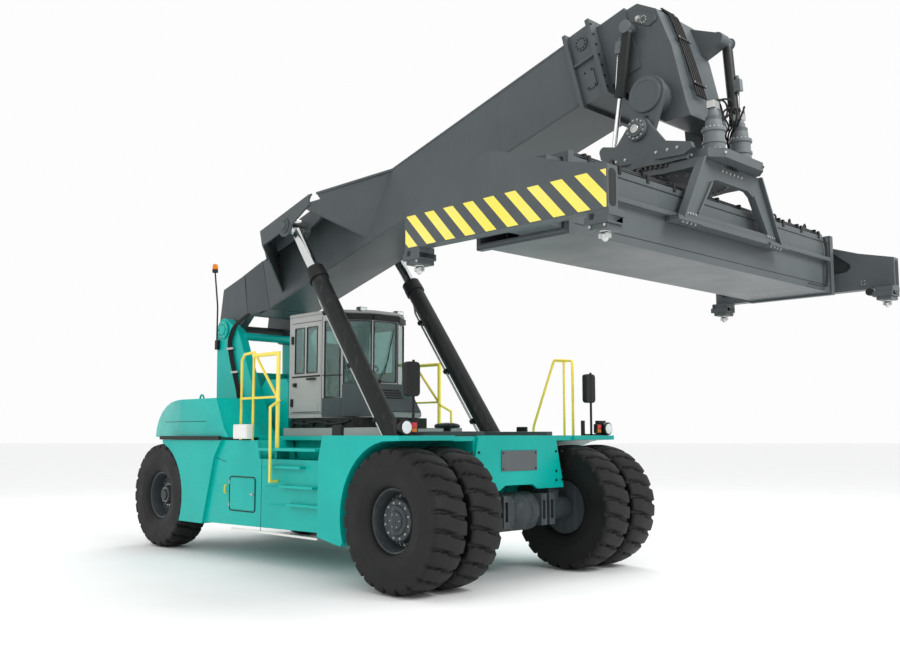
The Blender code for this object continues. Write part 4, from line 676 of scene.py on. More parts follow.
for y, reach in ((1.35, 0.20), (1.75, 0.16), (2.15, 0.18), (-1.45, 0.18), (-1.9, 0.16)):
    start = Vector((BEAM_FACES[1] - 0.10, y, beam_top + 0.06))
    beam_hoses.append(swept([start, start + Vector((0, 0.02, 0.06)),
                             start + Vector((-0.02, reach * 0.5, 0.085)),
                             start + Vector((-0.05, reach, 0.05)), start + Vector((-0.12, reach, 0.0))],
                            0.011, 8, 1.0))
    clamps.append(cuboid(start + Vector((-0.03, -0.04, -0.06)), start + Vector((0.03, 0.04, 0.02))))
finished_piece("beam_pipes", *together(*pipes), bare_metal("phosphated_pipe", "#55585A", 0.40, 0.03),
               "beam",
               "bright_steel")
finished_piece("beam_pipe_clamps", *together(*clamps), black_enamel_and_shade, "beam", "black_paint", bevel=0.003)
finished_piece("beam_hoses", *together(*beam_hoses), hose_black, "beam", "black_paint")
finished_piece("beam_weld_seams", *together(*seams), black_enamel_and_shade, "beam", "black_paint")
drape = [(3.16, 2.42, 4.30), (3.175, 2.44, 4.15), (3.175, 2.44, 3.85), (3.17, 2.42, 3.68),
         (3.17, 2.30, 3.655),
         (3.17, 1.95, 3.66)]
drapes = [swept([(x + 0.0, y + k * 0.022, z) for x, y, z in drape], 0.008, 8, 0.6) for k in range(3)]
finished_piece("beam_end_pipes", *together(*drapes), black_enamel_and_shade, "beam", "black_paint")

# ---------------------------------------------------------------- hanger and slewing gear
# The hanger is cut and welded from thick plate, and its feet are bolted on. Above it turns a toothed
# ring, driven by two hydraulic motors with planetary gearboxes, which are left in a bright silver-grey
# primer.
silver_grey = sprayed("silver_grey_primer", "#5E6466", "#6A7072", 0.38)
foot_bolts, flanges = [], []
for x, out in ((BEAM_FACES[0], -1), (BEAM_FACES[1], 1)):
    outer_face = x + out * 0.13
    for y in (-1, 1):
        for i in range(4):
            place = Vector((outer_face + out * 0.014, y * (0.80 + 0.075 * i), 3.945))
            foot_bolts.append(bolt(place, (0, 0, -1), 0.030))
            foot_bolts.append(bolt((outer_face, y * (0.76 + 0.05 * i), 4.05), (out, 0, 0), 0.024))
        x0, x1 = sorted((x + out * 0.075, x + out * 0.19))
        flanges.append(cuboid((x0, min(y * 0.72, y * 1.16), 3.945), (x1, max(y * 0.72, y * 1.16), 3.975)))
        leg = [(y * 1.00, 3.98), (y * 1.03, 3.98), (y * 0.61, 4.695), (y * 0.58, 4.695)]
        flanges.append(plate(leg, *sorted((x + out * 0.072, x + out * 0.175)), "x"))
        inner_leg = [(y * 0.71, 4.07), (y * 0.735, 4.07), (y * 0.455, 4.46), (y * 0.435, 4.44)]
        flanges.append(plate(inner_leg, *sorted((x + out * 0.10, x + out * 0.160)), "x"))
    for i in range(6):
        foot_bolts.append(bolt((outer_face, -0.20 + 0.08 * i, 4.62), (out, 0, 0), 0.026))
finished_piece("hanger_flanges", *together(*flanges), boom_grey, "bracket", "grey_paint", bevel=0.004)
teeth = circle_of(72, (2.59, 0.0, 4.665), (0, 0, 1), 0.672,
                  lambda p: turned([(0.0, 0.020), (0.055, 0.020)], p, (0, 0, 1), 6))
finished_piece("slewing_ring_teeth", *teeth, bare_metal("oiled_gear_steel", "#4A4A48", 0.35, 0.02),
               "bracket",
               "bright_steel")
ring_bolts = circle_of(40, (2.59, 0.0, 4.60), (0, 0, 1), 0.55, lambda p: bolt(p, (0, 0, -1), 0.030))
finished_piece("hanger_bolts", *together(ring_bolts, *foot_bolts), plated_steel, "bracket", "bright_steel")

motors, motor_bolts, valves, loops = [], [], [], []
for y in (-0.28, 0.28):
    at = Vector((3.22, y, 4.795))
    motors.append(turned([(0.0, 0.150), (0.030, 0.150), (0.034, 0.118), (0.10, 0.118), (0.105, 0.128),
                          (0.135, 0.128),
                          (0.14, 0.112), (0.235, 0.112), (0.24, 0.128), (0.275, 0.128), (0.28, 0.092),
                          (0.36, 0.088),
                          (0.375, 0.070), (0.378, 0.0)], at, (0, 0, 1), 40))
    motors.append(turned([(0.37, 0.060), (0.46, 0.060), (0.465, 0.05), (0.50, 0.045), (0.50, 0.0)], at,
                         (0, 0, 1), 24))
    for lift, radius, count in ((0.030, 0.134, 16), (0.275, 0.112, 16)):
        motor_bolts.append(circle_of(count, at + Vector((0, 0, lift)), (0, 0, 1), radius,
                                     lambda p: bolt(p, (0, 0, 1), 0.020)))
    valves.append(cuboid(at + Vector((-0.045, -0.06, 0.50)), at + Vector((0.045, 0.06, 0.58))))
    inward = -1 if y > 0 else 1
    for k in range(4):
        port = at + Vector((0.03 - 0.02 * k, 0.05 - 0.03 * k, 0.56))
        loops.append(swept([port, port + Vector((0.02, inward * (0.05 + 0.02 * k), 0.07)),
                            port + Vector((0.10 - 0.05 * k, inward * (0.16 + 0.02 * k), 0.05 - 0.02 * k)),
                            port + Vector((0.04, inward * 0.18, -0.10 - 0.03 * k)),
                            port + Vector((-0.10, inward * 0.06, -0.20)),
                            at + Vector((-0.16, 0.02, 0.16 + 0.03 * k))], 0.011, 8, 1.0))
finished_piece("slew_motors", *together(*motors), silver_grey, "slew_frame", "grey_paint", bevel=0.002,
               smooth=30)
finished_piece("slew_motor_bolts", *together(*motor_bolts), plated_steel, "slew_frame", "bright_steel")
finished_piece("slew_motor_valves", *together(*valves), plated_steel, "slew_frame", "bright_steel",
               bevel=0.004)
finished_piece("slew_motor_hoses", *together(*loops), hose_black, "slew_frame", "black_paint")
nose_bolts, pivots = [], []
for side in (-1, 1):
    pivot = Vector((2.53, side * 0.685, 5.13))
    pivots.append(turned([(0.0, 0.125), (0.035, 0.125), (0.045, 0.115), (0.045, 0.088), (0.062, 0.082),
                          (0.062, 0.0)], pivot, (0, side, 0), 36))
    nose_bolts.append(circle_of(12, pivot + Vector((0, side * 0.045, 0)), (0, side, 0), 0.102,
                                lambda p: bolt(p, (0, side, 0), 0.018)))
    nose_bolts.append(turned([(0.062, 0.050), (0.072, 0.046), (0.072, 0.030), (0.066, 0.028), (0.066, 0.0)],
                             pivot,
                             (0, side, 0), 24))
    for x in (2.24, 2.36, 2.76, 2.90, 3.02):
        nose_bolts.append(bolt((x, side * 0.685, 4.83), (0, side, 0), 0.028))
    for i in range(6):
        nose_bolts.append(bolt((3.12 + 0.06 * i, side * (0.575 - 0.035 * i), 4.75), (0.35, side, 0), 0.026))
finished_piece("level_pivot_caps", *together(*pivots), boom_grey, "slew_frame", "grey_paint", bevel=0.003)
finished_piece("slewing_frame_bolts", *together(*nose_bolts), plated_steel, "slew_frame", "bright_steel")

# ---------------------------------------------------------------- boom head
# Bolted covers and inspection plates close the two flanges of the outer boom. A bundle of hoses runs over
# the head's nose to the motors; the levelling cylinders have black barrels, valve blocks and hard-chromed
# rods.
pivot_low = Vector(joints["boom_lift"]["pos_m"]) - TO_ROW.translation
reach = joints["boom_extend"]["axis"]
BOOM_TILT = math.atan2(-reach[2], -reach[0])
BOOM_AXES = Matrix.Translation((pivot_low.x, 0.0, pivot_low.z)) @ Matrix.Rotation(-BOOM_TILT, 4, "Y")
BOOM_HALF = 0.455
BOOM_FOOT, BOOM_ROOF = 0.033, 0.893
COLLAR_HALF = 0.50


def on_boom(shape):
    """A shape in the boom's own axes, x along it and z square to it, in truck axes at the rest angle."""
    corners, faces = shape
    return [BOOM_AXES @ Vector(c) for c in corners], faces


covers, cover_bolts, head_slot_shade, ribs = [], [], [], []
for side in (-1, 1):
    face = side * COLLAR_HALF
    for x, z, radius in ((7.99, 0.72, 0.085), (7.99, 0.24, 0.0)):
        if radius:
            covers.append(turned([(0.0, radius), (0.018, radius), (0.022, radius - 0.012), (0.022, 0.0)],
                                 (x, face, z),
                                 (0, side, 0), 28))
            cover_bolts.append(circle_of(10, (x, face + side * 0.02, z), (0, side, 0), radius - 0.02,
                                         lambda p: bolt(p, (0, side, 0), 0.020)))
        else:
            covers.append(plate(rounded(x - 0.07, x + 0.07, z - 0.12, z + 0.12, 0.02),
                                *sorted((face, face + side * 0.015))))
            for dx, dz in ((-0.05, -0.1), (0.05, -0.1), (-0.05, 0.1), (0.05, 0.1)):
                cover_bolts.append(bolt((x + dx, face + side * 0.014, z + dz), (0, side, 0), 0.022))
    for i in range(7):
        z = 0.02 + 0.14 * i
        for x, way in ((8.19, 1), (7.78, -1)):
            cover_bolts.append(bolt((x, side * 0.53, z), (way, 0, 0), 0.028))
    ribs.append(cuboid((7.84, min(side * 0.50, side * 0.545), 0.47),
                       (8.14, max(side * 0.50, side * 0.545), 0.50)))
finished_piece("collar_covers", *on_boom(together(*covers, *ribs)), boom_grey, "boom", "grey_paint",
               bevel=0.003)
finished_piece("collar_bolts", *on_boom(together(*cover_bolts)), black_enamel_and_shade, "boom", "black_paint")
boom_seams = []
for side in (-1, 1):
    face = side * BOOM_HALF
    for z in (BOOM_FOOT + 0.025, BOOM_ROOF - 0.025):
        boom_seams.append(swept([(1.1, face, z), (7.76, face, z)], 0.007, 6))
finished_piece("boom_weld_seams", *on_boom(together(*boom_seams)), boom_grey, "boom", "grey_paint")

nose = [(2.29, 6.735), (2.50, 6.655), (2.64, 6.585), (2.70, 6.45), (2.83, 6.08), (2.93, 5.75), (2.99, 5.52)]
bundle = [swept([(x, -0.20 + 0.044 * k, z) for x, z in nose], 0.0125, 8, 0.7) for k in range(5)]
finished_piece("nose_hoses", *together(*bundle), hose_black, "boom_slider", "black_paint")
straps, strap_bolts = [], []
for (x, z), lean in (((2.575, 6.625), -0.5), ((2.775, 6.24), -1.15), ((2.955, 5.67), -1.25)):
    out = Vector((math.sin(-lean), 0, math.cos(lean)))
    along = Vector((out.z, 0, -out.x))
    centre = Vector((x, -0.116, z)) + out * 0.012
    corners = [centre + along * a + Vector((0, b, 0)) + out * c for a in (-0.016, 0.016) for b in (-0.125,
                                                                                                   0.125)
               for c in (-0.006, 0.010)]
    straps.append((corners, cuboid((0, 0, 0), (1, 1, 1))[1]))
    for b in (-0.11, 0.11):
        strap_bolts.append(bolt(centre + Vector((0, b, 0)) + out * 0.010, out, 0.018))
finished_piece("nose_hose_straps", *together(*straps), black_enamel_and_shade, "boom_slider", "black_paint",
               bevel=0.002)
head_rings, head_bolts = [], []
for side in (-1, 1):
    face = side * 0.615
    head_rings.append(turned([(0.0, 0.196), (0.012, 0.196), (0.016, 0.188), (0.016, 0.160), (0.010, 0.156),
                              (0.010, 0.0)], (2.59, face, 5.53), (0, side, 0), 40))
    head_rings.append(plate([(2.28, 6.66), (2.60, 6.52), (2.62, 6.44), (2.52, 6.40), (2.28, 6.52)],
                            *sorted((side * 0.40, side * 0.418))))
    # The black rounded plate on each side of the head stands for a slot: painted shade.
    head_slot_shade.append(plate(rounded(2.45, 2.62, 5.265, 5.295, 0.012),
                           *sorted((side * 0.598, side * 0.6025))))
    head_bolts.append(circle_of(8, (2.45, side * 0.418, 6.50), (0, side, 0), 0.04,
                                lambda p: bolt(p, (0, side, 0), 0.016)))
    head_bolts.append(bolt((2.38, side * 0.418, 6.53), (0, side, 0), 0.055))
finished_piece("trunnion_caps", *together(*head_rings), boom_grey, "boom_slider", "grey_paint", bevel=0.003)
finished_piece("head_slot_shade_plates", *together(*head_slot_shade), black_enamel_and_shade, "boom_slider", "black_paint")
finished_piece("head_bolts", *together(*head_bolts, *strap_bolts), plated_steel, "boom_slider",
               "bright_steel")

for name, base, tip, y, body in (("rear", (2.30, 6.42), (2.07, 4.98), -0.50, "level_barrel_rear"),
                                 ("front", (2.97, 6.33), (3.08, 4.90), 0.50, "level_barrel_front")):
    start = Vector((base[0], y, base[1]))
    along = (Vector((tip[0], y, tip[1])) - start).normalized()
    length = 0.80 if name == "rear" else 1.00
    side = Vector((along.z, 0, -along.x)) * (-1 if name == "rear" else 1)
    skin = turned([(0.06, 0.057), (0.062, 0.060), (length - 0.075, 0.060), (length - 0.07, 0.066),
                   (length + 0.002, 0.066), (length + 0.006, 0.060), (length + 0.006, 0.032)], start, along,
                   28)
    finished_piece(f"{name}_level_barrel_skin", *skin, black_enamel_and_shade, body, "black_paint")
    lug = turned([(0.0, 0.075), (0.012, 0.075), (0.014, 0.066), (0.014, 0.0)],
                 (base[0], y + math.copysign(0.057, y), base[1]), (0, math.copysign(1, y), 0), 24)
    valve_at = start + along * (0.22 if name == "rear" else 0.55) + side * -0.085
    tilt = along.to_track_quat("Z", "Y").to_matrix()
    valve = [valve_at + tilt @ Vector(c) for c in cuboid((-0.035, -0.04, -0.07), (0.035, 0.04, 0.07))[0]]
    ports = together((valve, cuboid((0, 0, 0), (1, 1, 1))[1]), lug,
                     turned([(0, 0.016), (0.03, 0.016), (0.03, 0.011), (0.05, 0.011)],
                            valve_at + along * 0.07, along, 12),
                     turned([(0, 0.020), (0.05, 0.020)], valve_at - along * 0.12, along, 12),
                     turned([(0, 0.018), (0.04, 0.018)], valve_at, Vector((0, -1, 0)), 12))
    finished_piece(f"{name}_level_valve", *ports, silver_grey, body, "grey_paint", bevel=0.002)
    pipe = swept([valve_at - along * 0.10, valve_at - along * 0.02 + side * -0.02,
                  start + along * (length - 0.14) - side * 0.075,
                  start + along * (length - 0.05) - side * 0.062],
                 0.009, 8, 0.6)
    finished_piece(f"{name}_level_pipe", *pipe, plated_steel, body, "bright_steel")

# ---------------------------------------------------------------- lift cylinders
# Honed steel barrels, black enamelled, with a screwed gland at the mouth. Two plated pipes feed the rod
# side, held by black clamps; the chromed rod ends in a welded eye under the boom's wing.
for side, out in (("right", -1), ("left", 1)):
    pin = Vector(joints[f"barrel_swing_{side}"]["pos_m"]) - TO_ROW.translation
    along = Vector(joints[f"rod_stroke_{side}"]["axis"]).normalized()
    back = Vector((-along.z, 0, along.x)) * -1
    back = back if back.x < 0 else -back
    mouth = 3.52
    collar = turned([(mouth - 0.20, 0.131), (mouth - 0.198, 0.150), (mouth - 0.10, 0.150),
                     (mouth - 0.095, 0.144),
                     (mouth + 0.004, 0.144), (mouth + 0.012, 0.134), (mouth + 0.012, 0.088)], pin, along,
                     40)
    lower = turned([(0.20, 0.131), (0.202, 0.137), (0.30, 0.137), (0.305, 0.131)], pin, along, 40)
    finished_piece(f"lift_gland_{side}", *together(collar, lower), black_enamel_and_shade, f"barrel_{side}",
                   "black_paint")
    rise, grips = [], []
    for k, shift in enumerate((-0.035, 0.035)):
        offset = back * 0.165 + Vector((0, shift - out * 0.02, 0))
        rise.append(swept([pin + along * 0.30 + back * 0.12 + Vector((0, shift, 0)),
                           pin + along * 0.42 + offset,
                           pin + along * (mouth - 0.52 + 0.2 * k) + offset,
                           pin + along * (mouth - 0.36 + 0.2 * k) + back * 0.12 + Vector((0, shift, 0))],
                          0.016, 10, 0.35))
    for share in (0.25, 0.52, 0.80):
        middle = pin + along * (mouth * share) + back * 0.155 + Vector((0, -out * 0.02, 0))
        tilt = along.to_track_quat("Z", "Y").to_matrix()
        corners, grip_faces = cuboid((-0.07, -0.07, -0.03), (0.07, 0.07, 0.03))
        grips.append(([middle + tilt @ Vector((c[0] * 0.5 if abs(tilt.col[0].y) < 0.5 else c[0],
                                               c[1] * 0.5 if abs(tilt.col[1].y) < 0.5 else c[1], c[2]))
                       for c in corners], grip_faces))
    finished_piece(f"lift_pipes_{side}", *together(*rise), plated_steel, f"barrel_{side}", "bright_steel")
    finished_piece(f"lift_pipe_clamps_{side}", *together(*grips), black_enamel_and_shade, f"barrel_{side}",
                   "black_paint",
                   bevel=0.004)
    top = Vector((-3.52, out * 1.135, 4.96))
    ring = together(turned([(0.0, 0.115), (0.02, 0.115), (0.026, 0.105), (0.026, 0.072), (0.045, 0.068),
                            (0.045, 0.0)], top, (0, out, 0), 32),
                    circle_of(6, top + Vector((0, out * 0.026, 0)), (0, out, 0), 0.090,
                              lambda p: bolt(p, (0, out, 0), 0.020)))
    finished_piece(f"wing_pin_cap_{side}", *ring, boom_grey, "boom", "grey_paint")

# ---------------------------------------------------------------- operator's cab
# Folded-steel cab with bonded, tinted safety glass in rubber gaskets, a darker nose cover over the pedals
# and a black sun visor. The door hangs at its rear edge and has two panes above a black grip strip.
safety_glass, _, _ = new_material("tinted_safety_glass", "#A9C9C4", 0.04, Transmission_Weight=0.82,
                                             IOR=1.45)
nose_grey = sprayed("nose_cover_paint", "#3F494B", "#4A5456", 0.34)
roof_grey = sprayed("cab_roof_paint", "#9C9B99", "#A6A5A3", 0.34)
CAB_TOP = 3.62
PLAN = [(-3.05, -0.74), (-2.76, -0.60), (-2.50, -0.24), (-2.50, 0.24), (-2.76, 0.60), (-3.05, 0.74)]


def wall_plate(start, end, low, high, margin=0.0, proud=0.0, depth=0.008):
    """A thin plate on an upright wall between two plan corners; proud is how far its face stands out."""
    a, b = Vector((*start, 0.0)), Vector((*end, 0.0))
    along = (b - a).normalized()
    out = Vector((along.y, -along.x, 0.0))
    a, b = a + along * margin, b - along * margin
    ring = [a + out * (proud - depth), b + out * (proud - depth), b + out * proud, a + out * proud]
    corners = [p + Vector((0, 0, z)) for z in (low, high) for p in ring]
    return corners, [(3, 2, 1, 0), (4, 5, 6, 7), (0, 1, 5, 4), (1, 2, 6, 5), (2, 3, 7, 6), (3, 0, 4, 7)]


def gasket(start, end, low, high, margin, proud=0.002, radius=0.011):
    """A rubber profile around a window on an upright wall."""
    a, b = Vector((*start, 0.0)), Vector((*end, 0.0))
    along = (b - a).normalized()
    out = Vector((along.y, -along.x, 0.0)) * proud
    a, b = a + along * margin + out, b - along * margin + out
    ring = [(*a.xy, low), (*b.xy, low), (*b.xy, high), (*a.xy, high), (*a.xy, low)]
    return swept(ring, radius, 6)


SIDE_LEFT = ((-3.05, 0.74), (-3.90, 0.74))
REAR_WALL = ((-3.90, 0.74), (-3.90, -0.74))
windows = [(PLAN[0], PLAN[1], 2.37, 3.50, 0.035), (PLAN[1], PLAN[2], 2.57, 3.50, 0.02),
           (PLAN[2], PLAN[3], 2.60, 3.50, 0.02),
           (PLAN[3], PLAN[4], 2.57, 3.50, 0.02), (PLAN[4], PLAN[5], 2.37, 3.50, 0.035),
           ((-3.13, 0.74), (-3.78, 0.74), 2.80, 3.48, 0.0), ((-3.90, 0.55), (-3.90, -0.55), 2.80, 3.48,
                                                             0.0)]
panes = [wall_plate(a, b, low, high, m, -0.004, 0.006) for a, b, low, high, m in windows]
finished_piece("cab_glass", *together(*panes), safety_glass, "truck")
finished_piece("cab_gaskets", *together(*[gasket(*w) for w in windows]), black_enamel_and_shade, "truck",
               "black_paint")
doors = [((-3.755, -0.74), (-3.50, -0.74)), ((-3.45, -0.74), (-3.175, -0.74))]
finished_piece("door_glass", *together(*[wall_plate(a, b, 2.735, 3.445, 0.0, -0.004, 0.006) for a,
                                         b in doors]),
               safety_glass, "door")
finished_piece("door_post", *together(wall_plate((-3.51, -0.74), (-3.44, -0.74), 2.735, 3.445, 0.0, 0.002,
                                                 0.03)),
               cab_grey, "door", "cab_paint", bevel=0.004)
door_trim = [gasket(a, b, 2.745, 3.435, 0.008, 0.003, 0.009) for a, b in doors]
door_trim += [cuboid((-3.825, -0.746, 2.680), (-3.105, -0.738, 2.705)),
              cuboid((-3.40, -0.785, 2.635), (-3.20, -0.757, 2.665)),
              cuboid((-3.39, -0.765, 2.64), (-3.36, -0.738, 2.66)),
              cuboid((-3.24, -0.765, 2.64), (-3.21, -0.738, 2.66)),
              cuboid((-3.76, -0.775, 2.54), (-3.70, -0.738, 2.60)),
              cuboid((-3.80, -0.760, 2.57), (-3.72, -0.745, 2.585))]
for x, z0, z1 in ((-3.822, 3.20, 3.32), (-3.822, 2.24, 2.36)):
    door_trim.append(cuboid((x - 0.006, -0.768, z0), (x + 0.035, -0.738, z1)))
finished_piece("door_trim", *together(*door_trim), black_enamel_and_shade, "door", "black_paint", bevel=0.003)
seams = [swept([(x, -0.7395, 2.10), (x, -0.7395, 3.58)], 0.0045, 6) for x in (-3.068,)]
seams += [swept([(-3.85, -0.7395, z), (-3.07, -0.7395, z - drop)], 0.0045, 6) for z,
          drop in ((2.135, 0.0),)]
seams += [swept([(*p, 2.10), (*p, 2.36)], 0.005, 6) for p in (PLAN[1],)]
for a, b in (SIDE_LEFT, REAR_WALL):
    seams.append(wall_plate(a, b, 2.640, 2.650, 0.03, 0.001, 0.004))
seams.append(wall_plate((-3.05, -0.74), (-2.76, -0.60), 2.685, 2.700, 0.0, 0.003, 0.02))
finished_piece("cab_seams", *together(*seams), black_enamel_and_shade, "truck", "black_paint")


def embossed(outline, y, proud):
    """A shallow raised field on a side skirt, as (x, z) corners."""
    return plate(outline, *sorted((y, y + proud)))


skirts = [embossed([(-3.80, 2.165), (-3.16, 2.165), (-3.16, 2.30), (-3.70, 2.43)], -0.740, -0.006)]
finished_piece("door_skirt", *together(*skirts), cab_grey, "door", "cab_paint", bevel=0.005)
nose_plates = [wall_plate(PLAN[0], PLAN[1], 2.08, 2.36, 0.0, 0.010, 0.02),
               wall_plate(PLAN[1], PLAN[2], 2.08, 2.56, 0.0, 0.010, 0.02),
               wall_plate(PLAN[3], PLAN[4], 2.08, 2.56, 0.0, 0.010, 0.02),
               wall_plate(PLAN[4], PLAN[5], 2.08, 2.36, 0.0, 0.010, 0.02)]
cheeks = []
for side in (-1, 1):
    rim = [(-2.76, side * 0.61), (-2.50, side * 0.47), (-2.21, side * 0.47)]
    low = [Vector((x, y, 2.085)) for x, y in rim]
    high = [Vector((-2.74, side * 0.60, 2.57)), Vector((-2.50, side * 0.47, 2.57)),
            Vector((-2.205, side * 0.47, 2.14))]
    inner = [p + Vector((0, -side * 0.02, 0)) for p in (*low, *high)]
    cheeks.append((low + high + inner, [(0, 1, 4, 3), (1, 2, 5, 4), (9, 10, 7, 6), (10, 11, 8, 7),
                                        (3, 4, 10, 9),
                                        (4, 5, 11, 10), (0, 3, 9, 6), (2, 8, 11, 5), (1, 0, 6, 7),
                                        (2, 1, 7, 8)]))
cover = ([Vector(p) for x, z in ((-2.505, 2.568), (-2.202, 2.146)) for p in ((x, -0.455, z), (x, 0.455, z),
                                                                             (x + 0.012, 0.455, z + 0.009),
          (x + 0.012, -0.455, z + 0.009))], [(0, 1, 2, 3), (7, 6, 5, 4), (0, 4, 5, 1), (3, 2, 6, 7),
                                             (1, 5, 6, 2), (0, 3, 7, 4)])
finished_piece("nose_cover", *together(*nose_plates, *cheeks, cover), nose_grey, "truck", "cab_paint",
               bevel=0.003)
# The black strips on the nose cover stand for the gaps between its louvres: painted shade.
louvre_gap_shade = []
for k in range(4):
    share = 0.22 + 0.09 * k
    x, z = -2.505 + 0.303 * share + 0.012, 2.568 - 0.422 * share + 0.009
    louvre_gap_shade.append(([Vector(p) for dx, dz in ((0.0, 0.0), (0.014, -0.020)) for p in
                     ((x + dx, -0.22, z + dz), (x + dx, 0.22, z + dz),
                      (x + dx + 0.006, 0.22, z + dz + 0.006),
                      (x + dx + 0.006, -0.22, z + dz + 0.006))], cover[1]))
finished_piece("nose_louvre_gap_shade", *together(*louvre_gap_shade), black_enamel_and_shade, "truck", "black_paint")
visor = [wall_plate(a, b, 3.515, 3.60, 0.0, 0.035, 0.06) for a, b in zip(PLAN[1:4], PLAN[2:5])]
wiper = [swept([(-2.488, -0.12, 2.60), (-2.480, 0.05, 2.95), (-2.482, 0.10, 3.22)], 0.006, 6),
         swept([(-2.484, -0.02, 2.72), (-2.484, 0.16, 3.40)], 0.008, 6),
         turned([(0, 0.03), (0.03, 0.026)], (-2.50, -0.12, 2.60), (1, 0, 0), 12)]
finished_piece("cab_visor", *together(*visor, *wiper), black_enamel_and_shade, "truck", "black_paint", bevel=0.004)
roof_ring = [(x, y * 0.985, CAB_TOP + 0.012) for x, y in [(-3.885, -0.74), (-3.06, -0.74), *PLAN[1:5],
                                                          (-3.06, 0.74), (-3.885, 0.74),
                                                         (-3.885, -0.74), (-3.06, -0.74)]]
finished_piece("roof_edge", *swept(roof_ring, 0.030, 10, 0.4), roof_grey, "truck", "cab_paint")
work_lights, lenses = [], []
for y in (-0.36, 0.36):
    x = -2.60
    work_lights.append(cuboid((x - 0.06, y - 0.07, 3.640), (x + 0.03, y + 0.07, 3.705)))
    lenses.append(cuboid((x + 0.030, y - 0.058, 3.648), (x + 0.036, y + 0.058, 3.697)))
for y in (-0.45, 0.45):
    work_lights.append(cuboid((-3.93, y - 0.06, 3.50), (-3.905, y + 0.06, 3.57)))
work_lights.append(turned([(0, 0.13), (0.02, 0.12), (0.035, 0.08), (0.04, 0.0)], (-2.95, 0.05, 3.664),
                          (0, 0, 1), 28))
finished_piece("roof_lights", *together(*work_lights), nose_grey, "truck", "black_paint", bevel=0.006)
lamp_glass, _, _ = new_material("clear_lamp_glass", "#E6ECEE", 0.12)
finished_piece("roof_light_lenses", *together(*lenses), lamp_glass, "truck")
cream_plastic, _, _ = new_material("white_moulded_cover", "#F2F2EF", 0.35)
domes = [turned([(0, 0.105), (0.012, 0.102), (0.022, 0.085), (0.028, 0.0)], (-3.42, -0.40, 3.664),
                (0, 0, 1), 32)]
finished_piece("roof_dome", *together(*domes), cream_plastic, "truck")
rollers = []
for x in (-3.80, -3.55, -3.30, -2.95, -2.60):
    for side in (-1, 1):
        rollers.append(turned([(0, 0.048), (0.05, 0.048)], (x, side * 0.705, 1.985), (0, side, 0), 20))
rollers.append(swept([(-3.75, -0.74, 2.00), (-3.5, -0.755, 1.965), (-3.2, -0.75, 2.02), (-2.8, -0.76, 1.96),
                      (-2.4, -0.74, 2.02)],
                     0.018, 8, 0.9))
finished_piece("cab_rollers", *together(*rollers), black_enamel_and_shade, "truck", "black_paint")

# ---------------------------------------------------------------- side boxes, steps and electrical box
# Sheet-steel boxes with a gasketed service door, folded treads and their grip teeth. A white switch box
# is bolted above the steps on the right.
box_trim, box_black, box_chrome = [], [], []
DOOR_X0, DOOR_X1, DOOR_Z0, DOOR_Z1 = -4.106, -3.419, 0.72, 1.21
for side in (-1, 1):
    face = side * 1.62
    panel = rounded(DOOR_X0, DOOR_X1, DOOR_Z0, DOOR_Z1, 0.05)
    box_trim.append(plate(rounded(DOOR_X0 + 0.02, DOOR_X1 - 0.02, DOOR_Z0 + 0.02, DOOR_Z1 - 0.02, 0.04),
                          *sorted((face, face + side * 0.008))))
    box_black.append(swept([(x, face + side * 0.001, z) for x, z in (*panel, panel[0])], 0.009, 6))
    box_black.append(swept([(-3.268, face, 0.47), (-3.268, face, 1.60)], 0.004, 6))
    box_black.append(swept([(-4.62, face, 1.50), (-4.22, face, 1.42)], 0.004, 6))
    box_chrome.append(turned([(0, 0.022), (0.014, 0.022), (0.018, 0.012), (0.018, 0)],
                             (DOOR_X1 - 0.06, face + side * 0.008, 0.97),
                             (0, side, 0), 20))
    box_chrome.append(block(DOOR_X1 - 0.115, DOOR_X1 - 0.05, face + side * 0.010, face + side * 0.022,
                            0.960, 0.980))
    for z in (0.80, 1.13):
        box_chrome.append(swept([(DOOR_X0 + 0.004, face + side * 0.012, z - 0.03),
                                 (DOOR_X0 + 0.004, face + side * 0.012, z + 0.03)],
                                0.009, 8))
finished_piece("side_box_doors", *together(*box_trim), turquoise, "truck", "teal_paint", bevel=0.003)
finished_piece("side_box_seals", *together(*box_black), black_enamel_and_shade, "truck", "black_paint")
finished_piece("side_box_latches", *together(*box_chrome), plated_steel, "truck", "bright_steel")
teeth = []
for z, x0, x1, inner, outer in ((1.36, -3.22, -2.30, 1.63, 1.70), (1.10, -3.10, -2.30, 1.63, 1.70),
                                (0.86, -3.00, -2.30, 1.63, 1.70),
                                (1.60, -3.20, -1.92, 1.10, 1.58)):
    for side in (-1, 1):
        count = int((x1 - x0) / 0.05)
        for i in range(count):
            x = x0 + 0.05 * i + 0.01
            rows = 1 if outer - inner < 0.1 else 4
            for r in range(rows):
                y = side * (inner + (r + 0.5) * (outer - inner) / rows)
                teeth.append(turned([(0.0, 0.014), (0.006, 0.009), (0.006, 0.004)], (x, y, z + 0.001),
                                    (0, 0, 1), 8))
finished_piece("tread_teeth", *together(*teeth), turquoise, "truck", "teal_paint")
handle_yellow = [swept([(-4.19, -1.622, 0.96), (-4.19, -1.655, 0.97), (-4.19, -1.655, 1.07),
                        (-4.19, -1.622, 1.08)], 0.010, 8, 0.5)]
finished_piece("isolator_handle", *together(*handle_yellow), rail_yellow, "truck", "yellow_paint")
white_enamel = sprayed("white_enamel", "#E9E9E4", "#F0F0EC", 0.32)
finished_piece("switch_box", *together(cuboid((-3.916, -1.70, 1.760), (-3.55, -1.60, 1.97)),
                                       cuboid((-3.90, -1.712, 1.775), (-3.566, -1.699, 1.955))),
               white_enamel, "truck", "cab_paint", bevel=0.008)
finished_piece("side_strip", *together(*[block(-4.05, -1.95, s * 1.600, s * 1.618, 0.442, 0.470)
               for s in (-1, 1)]), white_enamel, "truck", "cab_paint")

